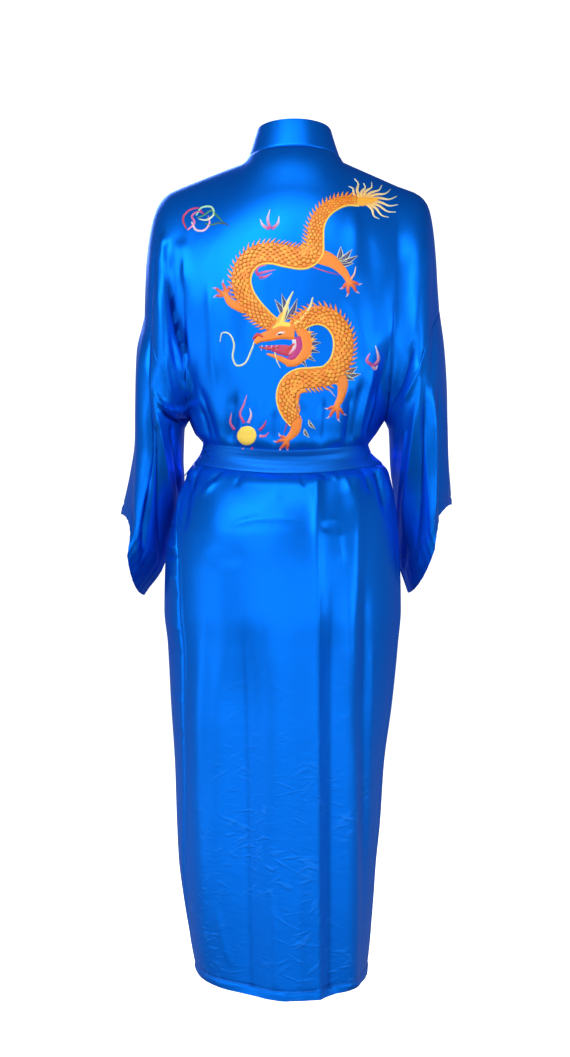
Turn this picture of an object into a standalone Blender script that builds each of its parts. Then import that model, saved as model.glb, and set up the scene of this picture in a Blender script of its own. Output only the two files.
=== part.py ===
# Full length satin robe with wide kimono sleeves, wrapped and tied with its own sash.
# Metres, +Z up. The wearer's left is +X and the back of the robe faces +Y.
# The origin is the middle of the neck at the height of the shoulders, where a body carries the robe.
# Every cloth piece is a thin wall round a hollow. The walls follow horizontal rings for the body and
# a fan of rings for each arm, which swings from the upright armhole to the slanted cuff.

import math
from collections import namedtuple

import bpy
import numpy as np

# Driving dimensions
CLOTH = 0.0012
SEAM_GAP = 0.0003
SHOULDER_Z = -0.0313
UNDERARM_Z = -0.380
HEM_Z = -1.206
NECK_CENTRE_X = -0.006
NECK_HALF_WIDTH = 0.070
NECK_BACK_DEPTH = 0.058
NECK_FRONT_DEPTH = 0.050
NECK_SIDE_Z = 0.005
NECK_BACK_Z = 0.0165
NECK_SHARE = 0.45
BAND_WIDTH = 0.043
BAND_LIES_DOWN = (0.15, 0.26)
BAND_WIDEST = 1.6
BAND_PROBE = 0.02
SASH_TOP_Z = -0.411
SASH_MIDDLE_Z = -0.4275
SASH_BOTTOM_Z = -0.444
SASH_DIP_BACK = 0.017
SASH_DIP_FRONT = 0.006
SASH_THICKNESS = 0.0016
SASH_CLEARANCE = 0.0010
UNDER_LAYER_DEPTH = 0.0048
UNDER_LAYER_HEIGHTS = (0.50, 0.92)
UNDER_LAYER_PLACES = (-0.92, -0.62)
BODY_SQUARENESS = 2.15
SASH_DIP_FROM_Z = -0.384
SASH_DIP_FADES_Z = -0.450
SASH_DIP_ENDS_Z = -0.620
HEM_LIFT_FROM_Z = -0.950
CUFF_PINCH = 0.35
CUFF_HOOK_LOW = 0.4
HEM_LIFT_LEFT = 0.022
HEM_LIFT_RIGHT = 0.010
HEM_LIFT_FRONT = 0.010
ARMHOLE_ROUNDING = (0.74, 1.0)
PLAIN_BELOW = 0.84
PLAIN_NECK_DEPTH = 0.70
PLAIN_NECK_Z = 0.010

# Depths of the upper body halfway up, at the armhole and in the middle
UpperDepth = namedtuple("UpperDepth", "edge middle")
UPPER_BACK = UpperDepth(0.092, 0.116)
UPPER_FRONT = UpperDepth(0.098, 0.126)

# How finely the walls are divided
BACK_SHOULDER_COLUMNS = 10
BACK_NECK_COLUMNS = 10
FRONT_COLUMNS = 10
BAND_COLUMNS = 2
UPPER_ROWS = 14
COLUMNS_GATHER_ABOVE = 0.25
CAP_RINGS = 6
SLEEVE_RINGS = 10

# The body below the underarm: half widths to each side, and depths to the back and the front
Section = namedtuple("Section", "z left right back front")
BODY_SECTIONS = [
    Section(-0.380, 0.1505, 0.1410, 0.108, 0.126),
    Section(-0.398, 0.1390, 0.1270, 0.103, 0.117),
    Section(-0.411, 0.1260, 0.1130, 0.093, 0.107),
    Section(-0.4275, 0.1290, 0.1180, 0.087, 0.104),
    Section(-0.444, 0.1400, 0.1350, 0.092, 0.106),
    Section(-0.463, 0.1530, 0.1470, 0.104, 0.111),
    Section(-0.485, 0.1620, 0.1530, 0.115, 0.116),
    Section(-0.512, 0.1710, 0.1580, 0.124, 0.120),
    Section(-0.545, 0.1790, 0.1610, 0.131, 0.123),
    Section(-0.600, 0.1860, 0.1640, 0.135, 0.125),
    Section(-0.660, 0.1870, 0.1650, 0.134, 0.125),
    Section(-0.708, 0.1820, 0.1610, 0.131, 0.123),
    Section(-0.797, 0.1770, 0.1520, 0.127, 0.122),
    Section(-0.887, 0.1710, 0.1400, 0.126, 0.124),
    Section(-0.976, 0.1680, 0.1340, 0.128, 0.128),
    Section(-1.036, 0.1650, 0.1280, 0.130, 0.131),
    Section(-1.095, 0.1580, 0.1240, 0.131, 0.134),
    Section(-1.155, 0.1480, 0.1190, 0.131, 0.136),
    Section(-1.206, 0.1360, 0.1130, 0.131, 0.137),
]

# Heights of the rows of the body wall, from the underarm to the hem
BODY_ROWS = [-0.380, -0.398, SASH_TOP_Z, SASH_MIDDLE_Z, SASH_BOTTOM_Z, -0.463, -0.485, -0.512, -0.545,
             -0.585, -0.630, -0.680, -0.735, -0.790, -0.850, -0.910, -0.970, -1.030, -1.090, -1.150,
             -1.193, HEM_Z]

# Where the side seams lie, in degrees round from the centre of the back
SeamPlace = namedtuple("SeamPlace", "z left right")
SIDE_SEAMS = [
    SeamPlace(-0.380, 90, 90),
    SeamPlace(-0.430, 86, 86),
    SeamPlace(-0.512, 72, 80),
    SeamPlace(-0.600, 59, 75),
    SeamPlace(-0.700, 57, 74),
    SeamPlace(-0.900, 60, 74),
    SeamPlace(-1.206, 76, 80),
]

# How far each front reaches: 1 is its own side seam, 0 the middle of the front, -1 the other side
FrontEdge = namedtuple("FrontEdge", "z reach")
FRONT_EDGES = [
    FrontEdge(NECK_SIDE_Z, NECK_SHARE),
    FrontEdge(-0.030, 0.425),
    FrontEdge(-0.080, 0.370),
    FrontEdge(-0.150, 0.250),
    FrontEdge(-0.230, 0.080),
    FrontEdge(-0.310, -0.120),
    FrontEdge(-0.380, -0.280),
    FrontEdge(-0.430, -0.345),
    FrontEdge(-0.520, -0.370),
    FrontEdge(-0.900, -0.380),
    FrontEdge(-1.206, -0.390),
]

# Each arm, from the shoulder to the cuff: the fold along the top of the arm (outer), the underarm
# line (inner), the middle of the ring in depth, its reach to the back and front, and how far the
# hanging back layer folds in and out
ArmRing = namedtuple("ArmRing", "station outer_x outer_z inner_x inner_z middle back front hook")
LEFT_ARM = [
    ArmRing(-1.00, 0.1565, -0.0313, 0.1505, -0.3800, 0.000, 0.092, 0.098, 0.000),
    ArmRing(-0.83, 0.1830, -0.0440, 0.1516, -0.3818, 0.000, 0.094, 0.098, 0.000),
    ArmRing(-0.66, 0.1990, -0.0660, 0.1528, -0.3836, -0.001, 0.096, 0.099, 0.000),
    ArmRing(-0.50, 0.2085, -0.1020, 0.1540, -0.3854, -0.002, 0.098, 0.100, 0.000),
    ArmRing(-0.33, 0.2130, -0.1400, 0.1552, -0.3872, -0.004, 0.099, 0.101, 0.000),
    ArmRing(-0.16, 0.2150, -0.1800, 0.1564, -0.3889, -0.006, 0.100, 0.102, 0.000),
    ArmRing(0.00, 0.2168, -0.2220, 0.1576, -0.3905, -0.008, 0.100, 0.102, 0.000),
    ArmRing(0.20, 0.2287, -0.2760, 0.1590, -0.4100, -0.014, 0.101, 0.103, 0.000),
    ArmRing(0.40, 0.2325, -0.3560, 0.1600, -0.4380, -0.022, 0.102, 0.103, 0.002),
    ArmRing(0.60, 0.2345, -0.4120, 0.1590, -0.4640, -0.031, 0.103, 0.104, 0.005),
    ArmRing(0.75, 0.2410, -0.4500, 0.1640, -0.4900, -0.039, 0.103, 0.104, 0.008),
    ArmRing(0.88, 0.2490, -0.4850, 0.1790, -0.5450, -0.047, 0.104, 0.104, 0.011),
    ArmRing(0.95, 0.2540, -0.5040, 0.1890, -0.5900, -0.051, 0.104, 0.104, 0.013),
    ArmRing(1.00, 0.2570, -0.5185, 0.2220, -0.6410, -0.054, 0.104, 0.104, 0.014),
]
RIGHT_ARM = [
    ArmRing(-1.00, 0.1594, -0.0313, 0.1410, -0.3800, 0.000, 0.092, 0.098, 0.000),
    ArmRing(-0.83, 0.1910, -0.0440, 0.1421, -0.3820, 0.000, 0.094, 0.098, 0.000),
    ArmRing(-0.66, 0.2056, -0.0620, 0.1432, -0.3840, -0.001, 0.096, 0.099, 0.000),
    ArmRing(-0.50, 0.2130, -0.0980, 0.1443, -0.3860, -0.002, 0.098, 0.100, 0.000),
    ArmRing(-0.33, 0.2168, -0.1380, 0.1454, -0.3880, -0.004, 0.099, 0.101, 0.000),
    ArmRing(-0.16, 0.2195, -0.1780, 0.1464, -0.3898, -0.006, 0.100, 0.102, 0.000),
    ArmRing(0.00, 0.2228, -0.2160, 0.1474, -0.3915, -0.008, 0.100, 0.102, 0.000),
    ArmRing(0.20, 0.2300, -0.2680, 0.1490, -0.4100, -0.014, 0.101, 0.103, 0.000),
    ArmRing(0.40, 0.2360, -0.3400, 0.1500, -0.4340, -0.022, 0.102, 0.103, 0.002),
    ArmRing(0.60, 0.2380, -0.4050, 0.1520, -0.4580, -0.031, 0.103, 0.104, 0.005),
    ArmRing(0.75, 0.2405, -0.4440, 0.1570, -0.4900, -0.039, 0.103, 0.104, 0.008),
    ArmRing(0.88, 0.2440, -0.4760, 0.1615, -0.5450, -0.047, 0.104, 0.104, 0.011),
    ArmRing(0.95, 0.2455, -0.4930, 0.1660, -0.5950, -0.051, 0.104, 0.104, 0.013),
    ArmRing(1.00, 0.2460, -0.5036, 0.1800, -0.6377, -0.054, 0.104, 0.104, 0.014),
]

# How the band leans as it leaves the neck, by its distance along the neck from the centre back
BandLean = namedtuple("BandLean", "along inward forward up")
BAND_LEANS = [
    BandLean(0.000, 0.00, 0.20, 0.98),
    BandLean(0.060, 0.16, 0.20, 0.95),
    BandLean(0.100, 0.34, 0.34, 0.84),
    BandLean(0.130, 0.66, 0.44, 0.55),
    BandLean(0.170, 0.90, 0.30, 0.22),
    BandLean(0.230, 0.97, 0.18, 0.10),
]

# The large folds, each a soft trough (negative) or ridge along a path of three points seen square
# from the back or the front
Fold = namedtuple("Fold", "piece x0 z0 x1 z1 x2 z2 width height")
BACK_FOLDS = [
    Fold("body", 0.161, -0.190, 0.145, -0.270, 0.124, -0.372, 0.011, -0.013),
    Fold("body", 0.166, -0.235, 0.157, -0.285, 0.144, -0.340, 0.009, 0.006),
    Fold("body", 0.178, -0.225, 0.176, -0.280, 0.172, -0.335, 0.009, -0.006),
    Fold("arm", 0.193, -0.120, 0.196, -0.260, 0.190, -0.400, 0.013, 0.006),
    Fold("arm", 0.206, -0.180, 0.213, -0.310, 0.203, -0.430, 0.009, -0.011),
    Fold("body", -0.204, -0.085, -0.200, -0.120, -0.190, -0.165, 0.009, 0.006),
    Fold("body", -0.190, -0.130, -0.180, -0.240, -0.172, -0.345, 0.010, -0.012),
    Fold("body", -0.140, -0.240, -0.150, -0.300, -0.154, -0.345, 0.012, -0.008),
    Fold("arm", -0.210, -0.210, -0.200, -0.370, -0.164, -0.560, 0.013, 0.008),
    Fold("arm", -0.186, -0.400, -0.182, -0.470, -0.176, -0.540, 0.010, -0.008),
    Fold("arm", -0.222, -0.380, -0.220, -0.450, -0.214, -0.530, 0.008, -0.008),
    Fold("arm", 0.226, -0.390, 0.224, -0.500, 0.226, -0.620, 0.012, 0.010),
    Fold("arm", 0.206, -0.400, 0.204, -0.500, 0.206, -0.590, 0.010, -0.012),
    Fold("arm", 0.186, -0.440, 0.174, -0.520, 0.190, -0.580, 0.009, 0.006),
    Fold("body", -0.038, -0.465, -0.041, -0.700, -0.044, -1.206, 0.017, 0.006),
    Fold("body", -0.078, -0.470, -0.080, -0.640, -0.082, -0.860, 0.018, 0.004),
    Fold("body", 0.078, -0.600, 0.072, -0.860, 0.064, -1.206, 0.020, -0.004),
    Fold("body", 0.020, -0.700, 0.016, -0.900, 0.012, -1.206, 0.022, 0.003),
    Fold("body", 0.090, -0.448, 0.094, -0.480, 0.102, -0.520, 0.012, -0.004),
    Fold("body", 0.040, -0.450, 0.040, -0.480, 0.042, -0.515, 0.012, -0.003),
    Fold("body", 0.006, -0.450, 0.004, -0.480, 0.000, -0.520, 0.012, -0.003),
    Fold("body", -0.062, -0.450, -0.064, -0.480, -0.068, -0.520, 0.012, -0.004),
    Fold("body", -0.100, -0.440, -0.108, -0.480, -0.112, -0.540, 0.013, -0.004),
    Fold("body", 0.072, -0.425, 0.074, -0.400, 0.080, -0.360, 0.013, 0.004),
    Fold("body", -0.060, -0.425, -0.060, -0.395, -0.064, -0.340, 0.014, 0.004),
]
FRONT_FOLDS = [
    Fold("body", 0.158, -0.180, 0.142, -0.260, 0.120, -0.372, 0.012, -0.011),
    Fold("arm", 0.200, -0.150, 0.205, -0.300, 0.196, -0.440, 0.011, -0.009),
    Fold("arm", 0.222, -0.370, 0.220, -0.480, 0.222, -0.600, 0.012, 0.008),
    Fold("arm", 0.200, -0.400, 0.198, -0.500, 0.200, -0.570, 0.011, -0.009),
    Fold("body", -0.160, -0.170, -0.148, -0.250, -0.126, -0.372, 0.012, -0.011),
    Fold("arm", -0.202, -0.160, -0.206, -0.300, -0.194, -0.440, 0.011, -0.009),
    Fold("arm", -0.222, -0.370, -0.220, -0.480, -0.206, -0.580, 0.012, 0.008),
    Fold("arm", -0.196, -0.400, -0.192, -0.500, -0.186, -0.570, 0.011, -0.009),
    Fold("body", 0.110, -0.130, 0.070, -0.270, 0.020, -0.400, 0.018, 0.006),
    Fold("body", 0.136, -0.250, 0.096, -0.330, 0.046, -0.405, 0.015, 0.005),
    Fold("body", -0.110, -0.130, -0.090, -0.260, -0.060, -0.400, 0.018, 0.006),
    Fold("body", -0.020, -0.450, 0.040, -0.600, 0.085, -0.860, 0.020, 0.006),
    Fold("body", 0.010, -0.450, 0.070, -0.540, 0.120, -0.660, 0.017, 0.004),
    Fold("body", -0.050, -0.450, -0.030, -0.700, -0.020, -1.206, 0.022, 0.005),
    Fold("body", 0.050, -0.700, 0.060, -0.900, 0.064, -1.206, 0.022, 0.005),
    Fold("body", -0.100, -0.450, -0.112, -0.520, -0.120, -0.640, 0.016, 0.004),
    Fold("body", 0.112, -0.450, 0.126, -0.500, 0.136, -0.580, 0.016, 0.004),
]
FOLD_ENDS = 0.22
FOLD_TURN = (-0.15, 0.35)
SHARED_FOLDS_Z = -0.389

# The knot, in front of the sash, and the two ends that hang from it
KNOT_X = -0.012
KNOT_SIZE = (0.048, 0.030, 0.048)
KNOT_INSET = 0.0018
KNOT_SIDE_DEPTH = 0.30
KNOT_SIDE_HEIGHT = 0.24
KNOT_ROUNDING = 0.20
KNOT_RIPPLES = 2.0
KNOT_RIPPLE_DEPTH = 0.05
KNOT_SLANT = 0.14
TAIL_WIDTH = 0.033
TAIL_TOP_WIDTH = 0.018
TAIL_CUP = 0.003
TAIL_GATHER = 0.22
TAIL_COLUMNS = 4
TAIL_ROWS = 14
Tail = namedtuple("Tail", "name top_x bottom_x top_z length standoff sway")
TAILS = [
    Tail("belt_end_left", -0.0015, 0.026, -0.4560, 0.305, 0.0090, 0.005),
    Tail("belt_end_right", -0.0225, -0.046, -0.4560, 0.270, 0.0090, -0.004),
]

# Colours of the satin
ROYAL_BLUE = (0.006, 0.115, 0.640, 1.0)
SASH_BLUE = (0.012, 0.105, 0.540, 1.0)


def smooth_step(low, high, value):
    share = np.clip((np.asarray(value, float) - low) / (high - low), 0.0, 1.0)
    return share * share * (3.0 - 2.0 * share)


def through(places, values, at):
    # A smooth curve through table values that never swings past them
    order = np.argsort(places)
    x = np.asarray(places, float)[order]
    y = np.asarray(values, float)[order]
    step = np.diff(x)
    slope = np.diff(y) / step
    tangent = np.zeros_like(y)
    same_way = slope[1:] * slope[:-1] > 0
    left_weight = 2 * step[1:] + step[:-1]
    right_weight = step[1:] + 2 * step[:-1]
    safe_left = np.where(slope[:-1] == 0, 1.0, slope[:-1])
    safe_right = np.where(slope[1:] == 0, 1.0, slope[1:])
    total = np.where(same_way, left_weight / safe_left + right_weight / safe_right, 1.0)
    tangent[1:-1] = np.where(same_way, (left_weight + right_weight) / total, 0.0)
    tangent[0] = slope[0]
    tangent[-1] = slope[-1]
    at = np.clip(np.asarray(at, float), x[0], x[-1])
    k = np.clip(np.searchsorted(x, at, side="right") - 1, 0, len(step) - 1)
    t = (at - x[k]) / step[k]
    return ((2 * t**3 - 3 * t**2 + 1) * y[k] + (t**3 - 2 * t**2 + t) * step[k] * tangent[k]
            + (3 * t**2 - 2 * t**3) * y[k + 1] + (t**3 - t**2) * step[k] * tangent[k + 1])


def column(rows, key, name, at):
    # One named column of a table, read smoothly at any place of its key column
    return through([getattr(row, key) for row in rows], [getattr(row, name) for row in rows], at)


def body_point(turn, level):
    # A point of the body below the underarm. turn is in degrees from the centre back, towards the left
    turn, level = np.broadcast_arrays(np.asarray(turn, float), np.asarray(level, float))
    angle = np.radians(turn)
    sine = np.sin(angle)
    cosine = np.cos(angle)
    half_width = np.where(sine > 0, column(BODY_SECTIONS, "z", "left", level),
                          column(BODY_SECTIONS, "z", "right", level))
    depth = np.where(cosine > 0, column(BODY_SECTIONS, "z", "back", level),
                     column(BODY_SECTIONS, "z", "front", level))
    power = BODY_SQUARENESS
    reach = (np.abs(sine)**power + np.abs(cosine)**power) ** (-1.0 / power)
    near_sash = smooth_step(SASH_DIP_FROM_Z, SASH_TOP_Z, level)
    near_sash = near_sash * (1.0 - smooth_step(SASH_DIP_FADES_Z, SASH_DIP_ENDS_Z, level))
    dip = np.where(cosine > 0, SASH_DIP_BACK, SASH_DIP_FRONT) * cosine**2
    near_hem = smooth_step(HEM_LIFT_FROM_Z, HEM_Z, level)
    lift = np.where(sine > 0, HEM_LIFT_LEFT, HEM_LIFT_RIGHT) * sine**2
    lift = lift + np.where(cosine < 0, HEM_LIFT_FRONT, 0.0) * cosine**2
    z = level - dip * near_sash + lift * near_hem
    return np.stack([half_width * sine * reach, depth * cosine * reach, z], axis=-1)


def seam_turn(across, level):
    # The turn of a place across the back (-1 right seam to 1 left seam)
    left = column(SIDE_SEAMS, "z", "left", level)
    right = column(SIDE_SEAMS, "z", "right", level)
    return across * np.where(across > 0, left, right)


def front_turn(across, level):
    # The turn of a place across the front (1 left seam, 0 middle, -1 right seam)
    left = column(SIDE_SEAMS, "z", "left", level)
    right = column(SIDE_SEAMS, "z", "right", level)
    return 180.0 - across * (180.0 - np.where(across > 0, left, right))


def lower_point(side, across, level):
    turn = seam_turn(across, level) if side > 0 else front_turn(across, level)
    return body_point(turn, level)


def shoulder_edge(side, across):
    # The top edge of the body: the shoulder line, and between its ends the line round the neck
    reach = np.abs(across)
    sign = np.where(across > 0, 1.0, -1.0)
    tip_x = np.where(across > 0, LEFT_ARM[0].outer_x, -RIGHT_ARM[0].outer_x)
    neck_x = NECK_CENTRE_X + sign * NECK_HALF_WIDTH
    along = np.clip((reach - NECK_SHARE) / (1.0 - NECK_SHARE), 0.0, 1.0)
    line_x = neck_x + (tip_x - neck_x) * along
    line_z = NECK_SIDE_Z + (SHOULDER_Z - NECK_SIDE_Z) * along
    round_neck = np.clip(across / NECK_SHARE, -1.0, 1.0) * math.pi / 2
    depth = NECK_BACK_DEPTH if side > 0 else -NECK_FRONT_DEPTH
    rise = (NECK_BACK_Z if side > 0 else NECK_SIDE_Z) - NECK_SIDE_Z
    on_neck = reach < NECK_SHARE
    x = np.where(on_neck, NECK_CENTRE_X + NECK_HALF_WIDTH * np.sin(round_neck), line_x)
    y = np.where(on_neck, depth * np.cos(round_neck), 0.0)
    z = np.where(on_neck, NECK_SIDE_Z + rise * np.cos(round_neck) ** 0.8, line_z)
    return np.stack([x, y, z], axis=-1)


def plain_shoulder(side, across):
    # The same edge with the corner at the neck evened out, for the cloth further down
    tip_x = np.where(across > 0, LEFT_ARM[0].outer_x, RIGHT_ARM[0].outer_x)
    swell = np.cos(across * math.pi / 2) ** 2
    depth = NECK_BACK_DEPTH if side > 0 else -NECK_FRONT_DEPTH
    x = tip_x * across + NECK_CENTRE_X * swell
    y = PLAIN_NECK_DEPTH * depth * swell
    z = SHOULDER_Z + (PLAIN_NECK_Z - SHOULDER_Z) * swell
    return np.stack([x, y, z], axis=-1)


def upper_point(side, across, height):
    # A point of the body above the underarm. height is 0 at the underarm and 1 at the shoulder.
    # The depth swells from the underarm to the chest or shoulder blades and rounds over to the top.
    # Away from the armhole it swells evenly, so that the underarm shows no ridge.
    across, height = np.broadcast_arrays(np.asarray(across, float), np.asarray(height, float))
    low = lower_point(side, across, UNDERARM_Z)
    near_top = smooth_step(PLAIN_BELOW, 1.0, height)[..., None]
    high = plain_shoulder(side, across) * (1.0 - near_top) + shoulder_edge(side, across) * near_top
    point = low + (high - low) * height[..., None]
    depths = UPPER_BACK if side > 0 else UPPER_FRONT
    full = side * (depths.edge + (depths.middle - depths.edge) * np.cos(across * math.pi / 2) ** 0.9)
    evenness = np.where(height < 0.5, 1.0 - smooth_step(*ARMHOLE_ROUNDING, np.abs(across)), 0.0)
    round_shape = np.clip(4.0 * height * (1.0 - height), 0.0, 1.0) ** (0.5 + 0.5 * evenness)
    rest = np.where(height > 0.5, high[..., 1], low[..., 1])
    point[..., 1] = rest + (full - rest) * round_shape
    return point


def arm_ring_point(arm, sign, station, around):
    # A point of an arm ring. around is 0 at the outer fold, 180 at the underarm line, by way of the
    # back, and -180 there by way of the front
    station, around = np.broadcast_arrays(np.asarray(station, float), np.asarray(around, float))
    angle = np.radians(around)
    share = (1.0 - np.cos(angle)) / 2.0
    values = {name: column(arm, "station", name, station)
              for name in ("outer_x", "outer_z", "inner_x", "inner_z", "middle", "back", "front", "hook")}
    x = values["outer_x"] + (values["inner_x"] - values["outer_x"]) * share
    z = values["outer_z"] + (values["inner_z"] - values["outer_z"]) * share
    depth = np.where(angle > 0, values["back"], values["front"])
    pinch = 1.0 - CUFF_PINCH * share * smooth_step(0.0, 1.0, station)
    y = values["middle"] + depth * pinch * np.sin(angle)
    hook = values["hook"] * np.sin(2.0 * angle) * np.sign(angle)
    swing = np.where(angle > 0, 1.0, 0.5) * np.where(hook < 0, CUFF_HOOK_LOW, 1.0) * hook
    return np.stack([sign * (x - swing), y, z], axis=-1)


def fold_height(points, piece, folds):
    # How far the folds of one table push the cloth out, for points seen square from that side.
    # Near the underarm and above it, the body and the arms share their folds.
    total = np.zeros(points.shape[:-1])
    shared = points[..., 2] > SHARED_FOLDS_Z
    steps = np.linspace(0.0, 1.0, 25)
    t = steps[:, None]
    flat = points[..., [0, 2]].reshape(-1, 1, 2)
    for fold in folds:
        start = np.array([fold.x0, fold.z0])
        middle = np.array([fold.x1, fold.z1])
        end = np.array([fold.x2, fold.z2])
        bend = 2.0 * middle - 0.5 * (start + end)
        path = (1 - t)**2 * start + 2 * t * (1 - t) * bend + t**2 * end
        gaps = np.linalg.norm(flat - path[None], axis=2)
        nearest = gaps.argmin(axis=1)
        gap = gaps[np.arange(len(gaps)), nearest]
        place = steps[nearest]
        fade = smooth_step(0.0, FOLD_ENDS, place)
        if fold.z2 > HEM_Z:
            fade = fade * (1.0 - smooth_step(1.0 - FOLD_ENDS, 1.0, place))
        shape = (fold.height * np.exp(-(gap / fold.width)**2) * fade).reshape(total.shape)
        total += shape if fold.piece == piece else np.where(shared, shape, 0.0)
    return total


def folded(grid, normals, piece):
    # Pushes a grid out and in along its normals where folds of the side that it faces cross it
    toward_back = smooth_step(*FOLD_TURN, normals[..., 1])
    toward_front = smooth_step(*FOLD_TURN, -normals[..., 1])
    height = (toward_back * fold_height(grid, piece, BACK_FOLDS)
              + toward_front * fold_height(grid, piece, FRONT_FOLDS))
    return grid + normals * height[..., None]


class Skin:
    # The welded outer surface of all the cloth, which gives neighbours the same normals at a seam
    def __init__(self):
        self.points = {}
        self.sums = {}

    @staticmethod
    def key(point):
        return tuple(int(round(value * 1e6)) for value in point)

    def add(self, grid):
        corners = (grid[:-1, :-1], grid[1:, :-1], grid[1:, 1:], grid[:-1, 1:])
        cross = np.cross(corners[2] - corners[0], corners[3] - corners[1])
        for corner in corners:
            for point, normal in zip(corner.reshape(-1, 3), cross.reshape(-1, 3)):
                place = self.key(point)
                self.sums[place] = self.sums.get(place, 0.0) + normal

    def normals(self, grid):
        flat = np.array([self.sums[self.key(point)] for point in grid.reshape(-1, 3)])
        flat /= np.linalg.norm(flat, axis=1)[:, None]
        return flat.reshape(grid.shape)


def back_columns(height):
    # Places across the back: even below, and gathered to the neck and shoulder seams at the top
    shoulder = np.linspace(1.0, NECK_SHARE, BACK_SHOULDER_COLUMNS + 1)
    neck = NECK_SHARE * np.linspace(1.0, -1.0, BACK_NECK_COLUMNS + 1)
    at_top = np.concatenate([shoulder, neck[1:-1], -shoulder[::-1]])
    even = np.linspace(1.0, -1.0, len(at_top))
    share = smooth_step(COLUMNS_GATHER_ABOVE, 1.0, height)
    return even + (at_top - even) * share


def front_reach(height_or_level, upper):
    # The reach of a front at a row, by the real height of the row at its edge
    z = UNDERARM_Z + (NECK_SIDE_Z - UNDERARM_Z) * height_or_level if upper else height_or_level
    return float(column(FRONT_EDGES, "z", "reach", z))


def row_heights():
    angles = np.linspace(0.0, math.pi, UPPER_ROWS + 1)
    return (1.0 - np.cos(angles)) / 2.0


def back_grid():
    rows = [upper_point(1, back_columns(height), height) for height in row_heights()[::-1]]
    rows += [lower_point(1, back_columns(0.0), level) for level in BODY_ROWS[1:]]
    return np.array(rows)


def front_columns(reach):
    return np.linspace(1.0, reach, FRONT_COLUMNS + 1)


def under_share(across, height):
    # How far the under layer of the wrap lies in, by its place and by its height above the underarm
    return smooth_step(*UNDER_LAYER_PLACES, across) * (1.0 - smooth_step(*UNDER_LAYER_HEIGHTS, height))


def front_grid(sign):
    rows = []
    for height in row_heights()[::-1]:
        places = sign * front_columns(front_reach(height, True))
        rows.append(upper_point(-1, places, height))
    for level in BODY_ROWS[1:]:
        places = sign * front_columns(front_reach(level, False))
        rows.append(lower_point(-1, places, level))
    return np.array(rows)


def lay_under(grid, plain):
    # Moves the under layer in from the upper one, and takes its folds out, where they overlap
    heights = list(row_heights()[::-1]) + [0.0] * (len(BODY_ROWS) - 1)
    moved = grid.copy()
    for row, height in enumerate(heights):
        if row <= UPPER_ROWS:
            reach = front_reach(height, True)
        else:
            reach = front_reach(BODY_ROWS[row - UPPER_ROWS], False)
        share = under_share(-np.linspace(1.0, reach, grid.shape[1]), height)[:, None]
        out = plain[row].copy()
        out[:, 2] = 0.0
        length = np.maximum(np.linalg.norm(out, axis=1)[:, None], 1e-6)
        inner = plain[row] - out / length * UNDER_LAYER_DEPTH
        moved[row] = grid[row] + (inner - grid[row]) * share
    return moved


def arm_grid(arm, sign, stations, way):
    # Half rings of an arm from the top fold to the underarm line, by the back (1) or the front (-1)
    angles = np.linspace(0.0, 180.0, UPPER_ROWS + 1) * way
    return np.array([arm_ring_point(arm, sign, station, angles) for station in stations])


def band_grid(left_edge, left_inner, neck, right_edge, right_inner):
    # The band: the seam line up the left front, round the neck and down the right front, and its
    # free edge, which stands up at the neck and lies on the body below
    seam = np.concatenate([left_edge[::-1], neck[1:-1], right_edge])
    inner = np.concatenate([left_inner[::-1], neck[1:-1], right_inner])
    middle = len(left_edge) + (len(neck) - 2) // 2
    gaps = np.linalg.norm(np.diff(seam, axis=0), axis=1)
    along = np.concatenate([[0.0], np.cumsum(gaps)])
    along = np.abs(along - along[middle])
    sign = np.where(np.arange(len(seam)) < middle, 1.0, -1.0)
    sign[middle] = 0.0
    lean = np.stack([-sign * column(BAND_LEANS, "along", "inward", along),
                     -column(BAND_LEANS, "along", "forward", along),
                     column(BAND_LEANS, "along", "up", along)], axis=1)
    lean /= np.linalg.norm(lean, axis=1)[:, None]
    flat = inner - seam
    flat /= np.maximum(np.linalg.norm(flat, axis=1), 1e-6)[:, None]
    share = smooth_step(*BAND_LIES_DOWN, along)[:, None]
    way = lean * (1.0 - share) + flat * share
    way /= np.linalg.norm(way, axis=1)[:, None]
    steps = np.linspace(0.0, BAND_WIDTH, BAND_COLUMNS + 1)
    rows = []
    for place, step in enumerate(steps):
        flat_row = seam + (inner - seam) * (step / BAND_WIDTH)
        lean_row = seam + way * step
        rows.append(flat_row * share + lean_row * (1.0 - share))
    return np.array(rows)


def band_inner(sign, rows_of_seam):
    # The place on the front, past its edge, where the band's free edge lies
    points = []
    for row in range(len(rows_of_seam)):
        above = rows_of_seam[max(row - 1, 0)]
        below = rows_of_seam[min(row + 1, len(rows_of_seam) - 1)]
        way = below - above
        level_run = math.hypot(way[0], way[1])
        slant = math.hypot(level_run, way[2]) / max(abs(way[2]), 1e-6)
        width = BAND_WIDTH * min(slant, BAND_WIDEST)
        if row <= UPPER_ROWS:
            height = row_heights()[::-1][row]
            reach = front_reach(height, True)
            here = upper_point(-1, sign * reach, height)
            there = upper_point(-1, sign * (reach - BAND_PROBE), height)
            share = BAND_PROBE * width / max(np.linalg.norm(there - here), 1e-5)
            points.append(upper_point(-1, sign * (reach - min(share, 0.5)), height))
        else:
            level = BODY_ROWS[row - UPPER_ROWS]
            reach = front_reach(level, False)
            here = lower_point(-1, sign * reach, level)
            there = lower_point(-1, sign * (reach - BAND_PROBE), level)
            share = BAND_PROBE * width / max(np.linalg.norm(there - here), 1e-5)
            points.append(lower_point(-1, sign * (reach - share), level))
    return np.array(points)


def shift_inner(points, depth):
    # Moves a line round the body in towards its middle
    out = points.copy()
    out[:, 2] = 0.0
    length = np.linalg.norm(out, axis=1)[:, None]
    heights = np.concatenate([row_heights()[::-1], np.zeros(len(BODY_ROWS) - 1)])
    share = 1.0 - smooth_step(*UNDER_LAYER_HEIGHTS, heights)
    return points - out / np.maximum(length, 1e-6) * (depth * share)[:, None]


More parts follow.
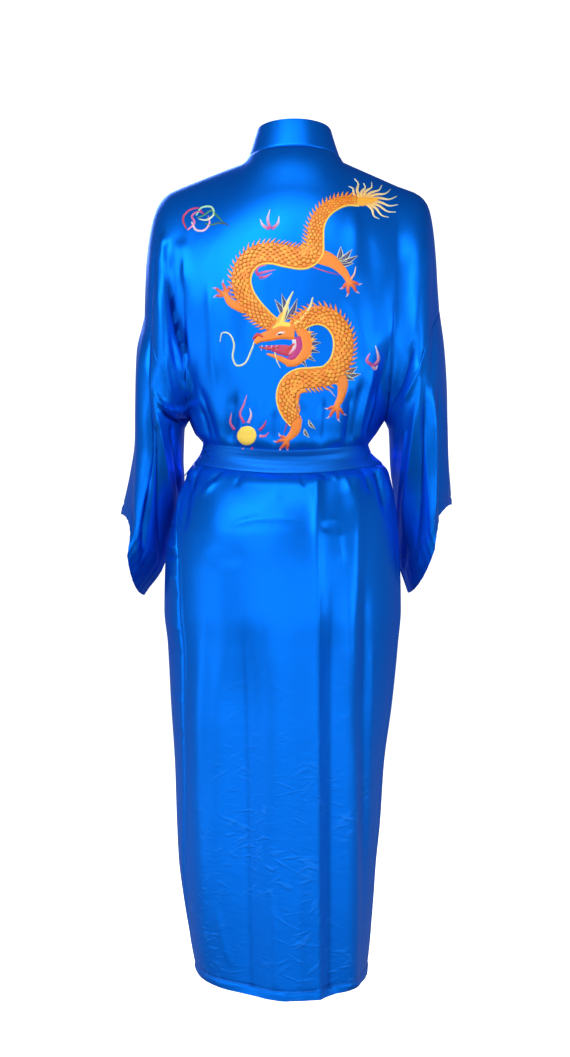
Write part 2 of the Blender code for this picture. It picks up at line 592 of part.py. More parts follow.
def satin(name, colour, roughness):
    material = bpy.data.materials.new(name)
    material.use_nodes = True
    shader = material.node_tree.nodes["Principled BSDF"]
    shader.inputs["Base Color"].default_value = colour
    shader.inputs["Roughness"].default_value = roughness
    shader.inputs["Metallic"].default_value = 0.0
    return material


def add_piece(name, points, faces, material, collection):
    mesh = bpy.data.meshes.new(name)
    mesh.from_pydata([tuple(point) for point in points], [], faces)
    mesh.update()
    mesh.materials.append(material)
    piece = bpy.data.objects.new(name, mesh)
    collection.objects.link(piece)
    mesh.shade_smooth()
    return piece


def cloth_wall(name, grids, skin, thickness, material, collection, inward=True):
    # Welds the grids of one piece, trims its edges by half the seam gap and gives it its thickness
    index = {}
    outer = []
    normals = []
    quads = []
    for grid in grids:
        grid_normals = skin.normals(grid)
        numbers = np.zeros(grid.shape[:2], int)
        for spot in np.ndindex(*grid.shape[:2]):
            place = skin.key(grid[spot])
            if place not in index:
                index[place] = len(outer)
                outer.append(grid[spot])
                normals.append(grid_normals[spot])
            numbers[spot] = index[place]
        for row in range(grid.shape[0] - 1):
            for col in range(grid.shape[1] - 1):
                corners = [numbers[row, col], numbers[row + 1, col],
                           numbers[row + 1, col + 1], numbers[row, col + 1]]
                face = [corner for k, corner in enumerate(corners) if corner != corners[k - 1]]
                if len(face) > 2:
                    quads.append(face)
    outer = np.array(outer)
    normals = np.array(normals)
    used = {}
    for face in quads:
        for k, corner in enumerate(face):
            used[(face[k - 1], corner)] = True
    rim = [edge for edge in used if (edge[1], edge[0]) not in used]
    shift = np.zeros_like(outer)
    for start, end in rim:
        along = outer[end] - outer[start]
        for corner in (start, end):
            way = np.cross(normals[corner], along)
            shift[corner] += way / np.linalg.norm(way)
    length = np.linalg.norm(shift, axis=1)[:, None]
    shift = np.where(length > 0, shift / np.maximum(length, 1e-9), 0.0) * (SEAM_GAP / 2)
    side = -1.0 if inward else 1.0
    first = outer + shift
    second = outer + shift + normals * thickness * side
    if not inward:
        first, second = second, first
    count = len(outer)
    faces = [list(face) for face in quads]
    faces += [[corner + count for corner in reversed(face)] for face in quads]
    for start, end in rim:
        # Two triangles, split the same way in space on both sides of a seam
        if skin.key(outer[start]) < skin.key(outer[end]):
            faces += [[end, start, end + count], [start, start + count, end + count]]
        else:
            faces += [[end, start, start + count], [end, start + count, end + count]]
    return add_piece(name, np.concatenate([first, second]), faces, material, collection)


def sash_wall(back, left, left_inner, right, skin_of_sash):
    # The rows of the body that the sash covers, all round, moved out: back, left front, its band and
    # then the right front as far as it shows
    rows = slice(UPPER_ROWS + 2, UPPER_ROWS + 5)
    middle_row = UPPER_ROWS + 3
    band = np.stack([(left[rows, -1] + left_inner[rows]) / 2, left_inner[rows]], axis=1)
    gaps = np.linalg.norm(right[middle_row] - left_inner[middle_row], axis=1)
    clear = int(gaps.argmin())
    ring = np.concatenate([back[rows, ::-1], left[rows, 1:], band, right[rows, :clear][:, ::-1]], axis=1)
    ring = ring[:, ::-1]
    skin_of_sash.add(ring)
    return ring


def surface_y(x, level):
    # The depth of the front at a place across it
    turns = np.linspace(110.0, 250.0, 141)
    points = body_point(turns, level)
    return float(np.interp(x, points[::-1, 0], points[::-1, 1]))


def tail_grid(tail):
    # One free end of the sash: gathered below the knot, then hanging in front of the cloth
    rows = []
    for share in np.linspace(0.0, 1.0, TAIL_ROWS + 1):
        level = tail.top_z - tail.length * share
        spread = smooth_step(0.0, TAIL_GATHER, share)
        width = TAIL_TOP_WIDTH + (TAIL_WIDTH - TAIL_TOP_WIDTH) * spread
        centre = tail.top_x + (tail.bottom_x - tail.top_x) * smooth_step(0.0, 1.0, share)
        centre += tail.sway * math.sin(2.0 * math.pi * share)
        row = []
        for across in np.linspace(-0.5, 0.5, TAIL_COLUMNS + 1):
            x = centre + width * across
            cup = TAIL_CUP * math.cos(math.pi * across) * (1.0 - 0.6 * spread)
            y = surface_y(x, level) - tail.standoff - cup
            point = np.array([[x, y, level]])
            y -= float(fold_height(point, "body", FRONT_FOLDS)[0])
            row.append((x, y, level))
        rows.append(row)
    return np.array(rows)


def knot_cage(collection, material, centre):
    # The knot: a coarse cage, narrower where the sash comes in on each side, with slanted soft
    # ripples as gathered cloth has, rounded by subdivision
    bpy.ops.mesh.primitive_cube_add(size=1.0, location=(0.0, 0.0, 0.0))
    knot = bpy.context.object
    knot.name = "belt_knot"
    knot.data.name = "belt_knot"
    cage = knot.modifiers.new("cage", "SUBSURF")
    cage.subdivision_type = "SIMPLE"
    cage.levels = cage.render_levels = 2
    bpy.ops.object.modifier_apply(modifier=cage.name)
    half = np.array(KNOT_SIZE) / 2
    for vertex in knot.data.vertices:
        place = np.array(vertex.co) * 2.0
        corner = np.linalg.norm(place) - 1.0
        aside = abs(place[0])
        narrow = np.array([1.0, 1.0 - KNOT_SIDE_DEPTH * aside, 1.0 - KNOT_SIDE_HEIGHT * aside])
        ripple = math.cos(KNOT_RIPPLES * math.pi * (0.9 * place[0] + 0.4 * place[2]))
        point = place * half * narrow * (1.0 - KNOT_ROUNDING * corner + KNOT_RIPPLE_DEPTH * ripple)
        point[2] += KNOT_SLANT * half[2] * place[0]
        vertex.co = point + centre
    for user in list(knot.users_collection):
        user.objects.unlink(knot)
    collection.objects.link(knot)
    knot.data.materials.append(material)
    rounded = knot.modifiers.new("rounded", "SUBSURF")
    rounded.levels = rounded.render_levels = 1
    knot.data.shade_smooth()
    return knot


def build():
    for old in list(bpy.data.objects):
        bpy.data.objects.remove(old, do_unlink=True)
    collection = bpy.data.collections.new("kimono_robe")
    bpy.context.scene.collection.children.link(collection)
    cloth = satin("royal blue satin", ROYAL_BLUE, 0.32)
    sash_cloth = satin("sash satin", SASH_BLUE, 0.36)

    # The base surfaces, with neighbours given the very same points along each seam
    cap = np.linspace(-1.0, 0.0, CAP_RINGS + 1)
    tube = np.concatenate([np.linspace(0.0, 0.88, SLEEVE_RINGS - 1), [0.95, 1.0]])
    back = back_grid()
    left = front_grid(1)
    right_outer = front_grid(-1)
    arms = {}
    for name, arm, sign in (("left", LEFT_ARM, 1), ("right", RIGHT_ARM, -1)):
        for part_name, stations in (("cap", cap), ("tube", tube)):
            for way_name, way in (("back", 1), ("front", -1)):
                arms[name, part_name, way_name] = arm_grid(arm, sign, stations, way)
        arms[name, "cap", "front"][:, [0, -1]] = arms[name, "cap", "back"][:, [0, -1]]
        arms[name, "tube", "front"][:, [0, -1]] = arms[name, "tube", "back"][:, [0, -1]]
        for way_name in ("back", "front"):
            arms[name, "tube", way_name][0] = arms[name, "cap", way_name][-1]
    upper = slice(0, UPPER_ROWS + 1)
    back[upper, 0] = arms["left", "cap", "back"][0]
    back[upper, -1] = arms["right", "cap", "back"][0]
    left[upper, 0] = arms["left", "cap", "front"][0]
    right_outer[upper, 0] = arms["right", "cap", "front"][0]
    left[UPPER_ROWS:, 0] = back[UPPER_ROWS:, 0]
    right_outer[UPPER_ROWS:, 0] = back[UPPER_ROWS:, -1]
    left[0] = back[0, :FRONT_COLUMNS + 1]
    right_outer[0] = back[0, ::-1][:FRONT_COLUMNS + 1]
    left_inner = band_inner(1, left[:, -1])
    right_inner = band_inner(-1, right_outer[:, -1])

    # The folds push every base surface the same way at shared points
    base = {"back": [(back, "body", False)], "left": [(left, "body", True)],
            "right": [(right_outer, "body", False)]}
    for (name, part_name, way_name), grid in arms.items():
        turned = (name == "left") == (way_name == "front")
        base[name, part_name, way_name] = [(grid, "arm", turned)]
    skin = Skin()
    for pieces in base.values():
        for grid, _, turned in pieces:
            skin.add(grid[:, ::-1] if turned else grid)
    shaped = {}
    for name, pieces in base.items():
        grid, piece, turned = pieces[0]
        shaped[name] = folded(grid, skin.normals(grid), piece)
    back = shaped["back"]
    left = shaped["left"]
    right_outer = shaped["right"]
    right = lay_under(right_outer, base["right"][0][0])
    under = shift_inner(right_inner, UNDER_LAYER_DEPTH)
    neck = back[0, BACK_SHOULDER_COLUMNS:BACK_SHOULDER_COLUMNS + BACK_NECK_COLUMNS + 1]
    band = band_grid(left[:, -1], left_inner, neck, right[:, -1], under)

    walls = {
        "back": [back, shaped["left", "cap", "back"], shaped["right", "cap", "back"][:, ::-1]],
        "front_left": [left[:, ::-1], shaped["left", "cap", "front"][:, ::-1]],
        "front_right": [right, shaped["right", "cap", "front"]],
        "sleeve_left": [shaped["left", "tube", "back"], shaped["left", "tube", "front"][:, ::-1]],
        "sleeve_right": [shaped["right", "tube", "back"][:, ::-1], shaped["right", "tube", "front"]],
        "neckband": [band[:, ::-1]],
    }
    skin = Skin()
    for grids in walls.values():
        for grid in grids:
            skin.add(grid)
    for name, grids in walls.items():
        cloth_wall(name, grids, skin, CLOTH, cloth, collection)

    sash_skin = Skin()
    ring = sash_wall(back, left, left_inner, right_outer, sash_skin)
    ring = ring + sash_skin.normals(ring) * SASH_CLEARANCE
    sash_skin = Skin()
    sash_skin.add(ring)
    cloth_wall("belt", [ring], sash_skin, SASH_THICKNESS, sash_cloth, collection, inward=False)
    by_knot = ring[np.abs(ring[..., 0] - KNOT_X) < KNOT_SIZE[0] * 0.7]
    front_of_sash = by_knot[:, 1].min() - SASH_THICKNESS
    knot_z = SASH_MIDDLE_Z - SASH_DIP_FRONT
    centre = np.array([KNOT_X, front_of_sash - SEAM_GAP - KNOT_SIZE[1] / 2 + KNOT_INSET, knot_z])
    knot_cage(collection, sash_cloth, centre)
    for tail in TAILS:
        grid = tail_grid(tail)
        tail_skin = Skin()
        tail_skin.add(grid)
        cloth_wall(tail.name, [grid], tail_skin, CLOTH, sash_cloth, collection)


if __name__ == "__main__":
    build()
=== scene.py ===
import math

import bpy
import numpy as np
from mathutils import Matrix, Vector
from mathutils.bvhtree import BVHTree


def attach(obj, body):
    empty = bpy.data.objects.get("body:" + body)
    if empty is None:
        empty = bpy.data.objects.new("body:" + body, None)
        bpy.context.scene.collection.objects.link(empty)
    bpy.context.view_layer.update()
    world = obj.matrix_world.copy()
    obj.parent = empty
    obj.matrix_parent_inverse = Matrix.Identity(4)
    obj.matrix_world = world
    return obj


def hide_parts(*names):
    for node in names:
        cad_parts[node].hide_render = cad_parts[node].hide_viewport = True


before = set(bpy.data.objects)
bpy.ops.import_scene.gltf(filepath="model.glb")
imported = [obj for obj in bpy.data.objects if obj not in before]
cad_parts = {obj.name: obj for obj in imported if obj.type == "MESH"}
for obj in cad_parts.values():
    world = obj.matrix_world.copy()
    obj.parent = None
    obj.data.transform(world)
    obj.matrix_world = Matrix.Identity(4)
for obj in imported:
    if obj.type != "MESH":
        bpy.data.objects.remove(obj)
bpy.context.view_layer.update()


def smoothStep(low, high, value):
    share = np.clip((np.asarray(value, float) - low) / (high - low), 0.0, 1.0)
    return share * share * (3.0 - 2.0 * share)


def through(places, values, at):  # smooth curve through table values that never swings past them
    order = np.argsort(places)
    x = np.asarray(places, float)[order]
    y = np.asarray(values, float)[order]
    step = np.diff(x)
    slope = np.diff(y) / step
    tangent = np.zeros_like(y)
    sameWay = slope[1:] * slope[:-1] > 0
    leftWeight = 2 * step[1:] + step[:-1]
    rightWeight = step[1:] + 2 * step[:-1]
    safeLeft = np.where(slope[:-1] == 0, 1.0, slope[:-1])
    safeRight = np.where(slope[1:] == 0, 1.0, slope[1:])
    total = np.where(sameWay, leftWeight / safeLeft + rightWeight / safeRight, 1.0)
    tangent[1:-1] = np.where(sameWay, (leftWeight + rightWeight) / total, 0.0)
    tangent[0] = slope[0]
    tangent[-1] = slope[-1]
    at = np.clip(np.asarray(at, float), x[0], x[-1])
    k = np.clip(np.searchsorted(x, at, side="right") - 1, 0, len(step) - 1)
    t = (at - x[k]) / step[k]
    return ((2 * t**3 - 3 * t**2 + 1) * y[k] + (t**3 - 2 * t**2 + t) * step[k] * tangent[k]
            + (3 * t**2 - 2 * t**3) * y[k + 1] + (t**3 - t**2) * step[k] * tangent[k + 1])


def column(table, names, name, at):  # one named column of a table, read by its first column
    where = names.split().index(name)
    return through([row[0] for row in table], [row[where] for row in table], at)


def unit(v):
    return v / np.maximum(np.linalg.norm(v, axis=-1, keepdims=True), 1e-12)


def walked(row):  # the length along a row of points, up to each of them
    return np.concatenate([[0.0], np.cumsum(np.linalg.norm(np.diff(row, axis=0), axis=1))])


def readOff(row, along, at):  # places on a row of points at chosen lengths
    return np.stack([np.interp(at, along, part) for part in row.T], axis=1)


def spline(points, count):  # even points on a smooth curve through the given ones
    points = np.asarray(points, float)
    padded = np.concatenate([2 * points[:1] - points[1:2], points, 2 * points[-1:] - points[-2:-1]])
    t = np.linspace(0.0, 1.0, 24, endpoint=False)[:, None]
    fine = [0.5 * (2 * b + (c - a) * t + (2 * a - 5 * b + 4 * c - d) * t**2 + (3 * b - a - 3 * c + d) * t**3)
            for a, b, c, d in zip(padded, padded[1:], padded[2:], padded[3:])]
    fine = np.concatenate(fine + [points[-1:]])
    along = walked(fine)
    return readOff(fine, along, np.linspace(0.0, along[-1], count))


def pathFrame(path, widths, count):  # even places on a flat path, with the way, side and width there
    line = spline(path, count)
    way = unit(np.gradient(line, axis=0))
    width = np.interp(np.linspace(0, len(widths) - 1, count), np.arange(len(widths)), widths)
    return line, way, np.stack([-way[:, 1], way[:, 0]], axis=1), width


def tubeFaces(rows, around):  # triangles of a tube of rings with flat ends
    n = np.arange(rows * around).reshape(rows, around)
    ring = np.concatenate([n, n[:, :1]], axis=1)
    quads = np.stack([ring[:-1, :-1], ring[:-1, 1:], ring[1:, 1:], ring[1:, :-1]], -1).reshape(-1, 4)
    ends = [[[n[0, 0], n[0, k + 1], n[0, k]], [n[-1, 0], n[-1, k], n[-1, k + 1]]]
            for k in range(1, around - 1)]
    return np.concatenate([quads[:, [0, 1, 2]], quads[:, [0, 2, 3]]] + ends)


def inTriangles(quads):  # the halves of quads, without those that a pole flattens
    halves = np.concatenate([quads[:, [0, 1, 2]], quads[:, [0, 2, 3]]])
    a, b, c = halves.T
    return halves[(a != b) & (b != c) & (c != a)]


def addObject(name, data):
    made = bpy.data.objects.new(name, data)
    bpy.context.scene.collection.objects.link(made)
    return made


def setField(mesh, name, kind, key, values):  # one value for every point of a mesh
    field = mesh.attributes.new(name, kind, "POINT")
    field.data.foreach_set(key, np.asarray(values, np.float32).ravel())


robe = {
    "clothThickness": 0.0008,
    "shoulderZ": -0.0313,
    "underarmZ": -0.380,
    "hemZ": -1.206,
    "neckCentreX": -0.006,
    "neckHalfWidth": 0.070,
    "neckBackDepth": 0.058,
    "neckFrontDepth": 0.050,
    "neckSideZ": 0.005,
    "neckBackZ": 0.0165,
    "neckShare": 0.45,
    "armholeRounding": (0.74, 1.0),
    "plainBelow": 0.84,
    "plainNeckDepth": 0.70,
    "plainNeckZ": 0.010,
    "bandWidth": 0.043,
    "sashTopZ": -0.411,
    "sashMiddleZ": -0.4275,
    "sashBottomZ": -0.444,
    "sashDipBack": 0.017,
    "sashDipFront": 0.006,
    "squareness": 2.15,
    "underLayerDepth": 0.0048,
    "cuffPinch": 0.35,
    "cuffHookLow": 0.4,
    "upperDepths": {1: (0.092, 0.116), -1: (0.098, 0.126)},  # armhole and middle, back and front
    "upperRows": 104,
    "bodyColumns": 132,
    "frontColumns": 72,
    "capRings": 16,
    "sleeveRings": 86,
    "bandColumns": 10,
    "shoulderColumns": 0.5,  # share of the back's columns that lie on the shoulders
    "columnsShiftFrom": 0.25,
    "dipFrom": -0.384,
    "dipFades": (-0.450, -0.620),
    "hemLiftFrom": -0.950,
    "hemLift": (0.022, 0.010, 0.010),  # at the left, the right and the front
    "bandSlant": 1.6,
    "bandReach": 0.5,
    "bandTurn": 0.03,  # length over which the band turns round at the back of the neck
    "bandLiesFlat": (0.15, 0.26),
    "underAcross": (-0.92, -0.62),
    "underFades": (0.50, 0.92),
    # where a run of rows below the underarm begins, and how many: close at the sash and the hem
    "rowRuns": [(-0.380, 38), (-0.472, 38), (-0.600, 104), (-1.176, 12)],
    "underarmEvened": (0.030, 0.075, 0.024, 0.05),  # near and far from it, length, share of a row
    "backEvened": (0.030, 0.12, 0.03, 0.35, 0.60),  # length, share, off the top, heights from and to
    # z, half widths to the left and right, depths to the back and front
    "sections": [
        (-0.380, 0.1505, 0.1410, 0.108, 0.126), (-0.398, 0.1390, 0.1270, 0.103, 0.117),
        (-0.411, 0.1260, 0.1130, 0.093, 0.107), (-0.4275, 0.1290, 0.1180, 0.087, 0.104),
        (-0.444, 0.1400, 0.1350, 0.0925, 0.106), (-0.463, 0.1530, 0.1470, 0.1085, 0.111),
        (-0.485, 0.1620, 0.1530, 0.1185, 0.116), (-0.512, 0.1710, 0.1580, 0.1262, 0.120),
        (-0.545, 0.1790, 0.1610, 0.1320, 0.123), (-0.600, 0.1860, 0.1640, 0.135, 0.125),
        (-0.660, 0.1870, 0.1650, 0.134, 0.125), (-0.708, 0.1820, 0.1610, 0.131, 0.123),
        (-0.797, 0.1770, 0.1520, 0.127, 0.122), (-0.887, 0.1710, 0.1400, 0.126, 0.124),
        (-0.976, 0.1680, 0.1340, 0.128, 0.128), (-1.036, 0.1650, 0.1280, 0.130, 0.131),
        (-1.095, 0.1580, 0.1240, 0.131, 0.134), (-1.155, 0.1480, 0.1190, 0.131, 0.136),
        (-1.206, 0.1360, 0.1130, 0.131, 0.137),
    ],
    # z, and how far round from the centre of the back each side seam lies, in degrees
    "sideSeams": [
        (-0.380, 90, 90), (-0.430, 86, 86), (-0.512, 72, 80), (-0.600, 59, 75), (-0.700, 57, 74),
        (-0.900, 60, 74), (-1.206, 76, 80),
    ],
    # z, and how far each front reaches: 1 its own side seam, 0 the middle, -1 the other side
    "frontEdges": [
        (0.005, 0.45), (-0.030, 0.425), (-0.080, 0.370), (-0.150, 0.250), (-0.230, 0.080),
        (-0.310, -0.120), (-0.380, -0.280), (-0.430, -0.345), (-0.520, -0.370), (-0.900, -0.380),
        (-1.206, -0.390),
    ],
}
sectionNames = "z left right back front"
armNames = "station outerX outerZ innerX innerZ middle back front hook"
# From the armhole (-1) over the dropped seam (0) to the cuff (1): outer and inner place of the left
# arm, then of the right one, then the four measures that both share
armRows = [
    (-1.00, 0.1565, -0.0313, 0.1505, -0.3800, 0.1594, -0.0313, 0.1410, -0.3800, 0.000, 0.092, 0.098, 0.000),
    (-0.83, 0.1830, -0.0440, 0.1516, -0.3818, 0.1910, -0.0440, 0.1421, -0.3820, 0.000, 0.094, 0.098, 0.000),
    (-0.66, 0.1990, -0.0660, 0.1528, -0.3836, 0.2056, -0.0620, 0.1432, -0.3840, -0.001, 0.096, 0.099, 0.000),
    (-0.50, 0.2085, -0.1020, 0.1540, -0.3854, 0.2130, -0.0980, 0.1443, -0.3860, -0.002, 0.098, 0.100, 0.000),
    (-0.33, 0.2130, -0.1400, 0.1552, -0.3872, 0.2168, -0.1380, 0.1454, -0.3880, -0.004, 0.099, 0.101, 0.000),
    (-0.16, 0.2150, -0.1800, 0.1564, -0.3889, 0.2195, -0.1780, 0.1464, -0.3898, -0.006, 0.100, 0.102, 0.000),
    (0.00, 0.2168, -0.2220, 0.1576, -0.3905, 0.2228, -0.2160, 0.1474, -0.3915, -0.008, 0.100, 0.102, 0.000),
    (0.20, 0.2287, -0.2760, 0.1590, -0.4100, 0.2300, -0.2680, 0.1490, -0.4100, -0.014, 0.101, 0.103, 0.000),
    (0.40, 0.2325, -0.3560, 0.1600, -0.4380, 0.2360, -0.3400, 0.1500, -0.4340, -0.022, 0.102, 0.103, 0.002),
    (0.60, 0.2345, -0.4120, 0.1590, -0.4640, 0.2380, -0.4050, 0.1520, -0.4580, -0.031, 0.103, 0.104, 0.005),
    (0.75, 0.2410, -0.4500, 0.1640, -0.4900, 0.2405, -0.4440, 0.1570, -0.4900, -0.039, 0.103, 0.104, 0.008),
    (0.88, 0.2490, -0.4850, 0.1790, -0.5450, 0.2440, -0.4760, 0.1615, -0.5450, -0.047, 0.104, 0.104, 0.011),
    (0.95, 0.2540, -0.5040, 0.1890, -0.5900, 0.2455, -0.4930, 0.1660, -0.5950, -0.051, 0.104, 0.104, 0.013),
    (1.00, 0.2570, -0.5185, 0.2220, -0.6410, 0.2460, -0.5036, 0.1800, -0.6377, -0.054, 0.104, 0.104, 0.014),
]
arms = {"left": [row[:5] + row[9:] for row in armRows], "right": [row[:1] + row[5:] for row in armRows]}
bandNames = "along inward forward up"
bandLeans = [
    (0.000, 0.00, 0.20, 0.98), (0.060, 0.16, 0.20, 0.95), (0.100, 0.34, 0.34, 0.84),
    (0.130, 0.66, 0.44, 0.55), (0.170, 0.90, 0.30, 0.22), (0.230, 0.97, 0.18, 0.10),
]

runEnds = [z for z, _ in robe["rowRuns"][1:]] + [robe["hemZ"]]
bodyRows = np.concatenate([np.linspace(z, end, count, endpoint=False)
                           for (z, count), end in zip(robe["rowRuns"], runEnds)] + [[robe["hemZ"]]])
upperHeights = ((1.0 - np.cos(np.linspace(0.0, math.pi, robe["upperRows"] + 1))) / 2.0)[::-1]


def bodyPoint(turn, level):  # turn in degrees from the centre back, towards the wearer's left
    turn, level = np.broadcast_arrays(np.asarray(turn, float), np.asarray(level, float))
    sine, cosine = np.sin(np.radians(turn)), np.cos(np.radians(turn))
    left, right, back, front = (column(robe["sections"], sectionNames, name, level)
                                for name in sectionNames.split()[1:])
    power = robe["squareness"]
    reach = (np.abs(sine)**power + np.abs(cosine)**power) ** (-1.0 / power)
    nearSash = smoothStep(robe["dipFrom"], robe["sashTopZ"], level)
    nearSash = nearSash * (1.0 - smoothStep(*robe["dipFades"], level))
    dip = np.where(cosine > 0, robe["sashDipBack"], robe["sashDipFront"]) * cosine**2
    atLeft, atRight, atFront = robe["hemLift"]
    lift = np.where(sine > 0, atLeft, atRight) * sine**2 + np.where(cosine < 0, atFront, 0.0) * cosine**2
    z = level - dip * nearSash + lift * smoothStep(robe["hemLiftFrom"], robe["hemZ"], level)
    return np.stack([np.where(sine > 0, left, right) * sine * reach,
                     np.where(cosine > 0, back, front) * cosine * reach, z], axis=-1)


def lowerPoint(side, across, level):  # across is 1 at the left side seam and -1 at the right one
    left, right = (column(robe["sideSeams"], "z left right", name, level) for name in ("left", "right"))
    seam = np.where(across > 0, left, right)
    return bodyPoint(across * seam if side > 0 else 180.0 - across * (180.0 - seam), level)


def shoulderEdge(side, across):  # the shoulder lines, and the line round the neck between them
    reach = np.abs(across)
    sign = np.where(across > 0, 1.0, -1.0)
    tipX = np.where(across > 0, arms["left"][0][1], -arms["right"][0][1])
    neckX = robe["neckCentreX"] + sign * robe["neckHalfWidth"]
    along = np.clip((reach - robe["neckShare"]) / (1.0 - robe["neckShare"]), 0.0, 1.0)
    lineX = neckX + (tipX - neckX) * along
    lineZ = robe["neckSideZ"] + (robe["shoulderZ"] - robe["neckSideZ"]) * along
    roundNeck = np.clip(across / robe["neckShare"], -1.0, 1.0) * math.pi / 2
    depth = robe["neckBackDepth"] if side > 0 else -robe["neckFrontDepth"]
    rise = (robe["neckBackZ"] if side > 0 else robe["neckSideZ"]) - robe["neckSideZ"]
    onNeck = reach < robe["neckShare"]
    x = np.where(onNeck, robe["neckCentreX"] + robe["neckHalfWidth"] * np.sin(roundNeck), lineX)
    y = np.where(onNeck, depth * np.cos(roundNeck), 0.0)
    z = np.where(onNeck, robe["neckSideZ"] + rise * np.cos(roundNeck) ** 0.8, lineZ)
    return np.stack([x, y, z], axis=-1)


def plainShoulder(side, across):  # the same edge without the corner at the neck
    tipX = np.where(across > 0, arms["left"][0][1], arms["right"][0][1])
    swell = np.cos(across * math.pi / 2) ** 2
    depth = robe["neckBackDepth"] if side > 0 else -robe["neckFrontDepth"]
    x = tipX * across + robe["neckCentreX"] * swell
    y = robe["plainNeckDepth"] * depth * swell
    z = robe["shoulderZ"] + (robe["plainNeckZ"] - robe["shoulderZ"]) * swell
    return np.stack([x, y, z], axis=-1)


def upperPoint(side, across, height):  # height is 0 at the underarm and 1 at the shoulder
    across, height = np.broadcast_arrays(np.asarray(across, float), np.asarray(height, float))
    low = lowerPoint(side, across, robe["underarmZ"])
    nearTop = smoothStep(robe["plainBelow"], 1.0, height)[..., None]
    high = plainShoulder(side, across) * (1.0 - nearTop) + shoulderEdge(side, across) * nearTop
    point = low + (high - low) * height[..., None]
    edge, middle = robe["upperDepths"][side]
    full = side * (edge + (middle - edge) * np.cos(across * math.pi / 2) ** 0.9)
    evenness = np.where(height < 0.5, 1.0 - smoothStep(*robe["armholeRounding"], np.abs(across)), 0.0)
    roundShape = np.clip(4.0 * height * (1.0 - height), 0.0, 1.0) ** (0.5 + 0.5 * evenness)
    rest = np.where(height > 0.5, high[..., 1], low[..., 1])
    point[..., 1] = rest + (full - rest) * roundShape
    return point


def armRingPoint(arm, sign, station, around):  # around: 0 top fold, 180 underarm, by the back
    station, around = np.broadcast_arrays(np.asarray(station, float), np.asarray(around, float))
    angle = np.radians(around)
    share = (1.0 - np.cos(angle)) / 2.0
    v = {name: column(arm, armNames, name, station) for name in armNames.split()[1:]}
    x = v["outerX"] + (v["innerX"] - v["outerX"]) * share
    z = v["outerZ"] + (v["innerZ"] - v["outerZ"]) * share
    depth = np.where(angle > 0, v["back"], v["front"])
    pinch = 1.0 - robe["cuffPinch"] * share * smoothStep(0.0, 1.0, station)
    y = v["middle"] + depth * pinch * np.sin(angle)
    hook = v["hook"] * np.sin(2.0 * angle) * np.sign(angle)
    swing = np.where(angle > 0, 1.0, 0.5) * np.where(hook < 0, robe["cuffHookLow"], 1.0) * hook
    return np.stack([sign * (x - swing), y, z], axis=-1)


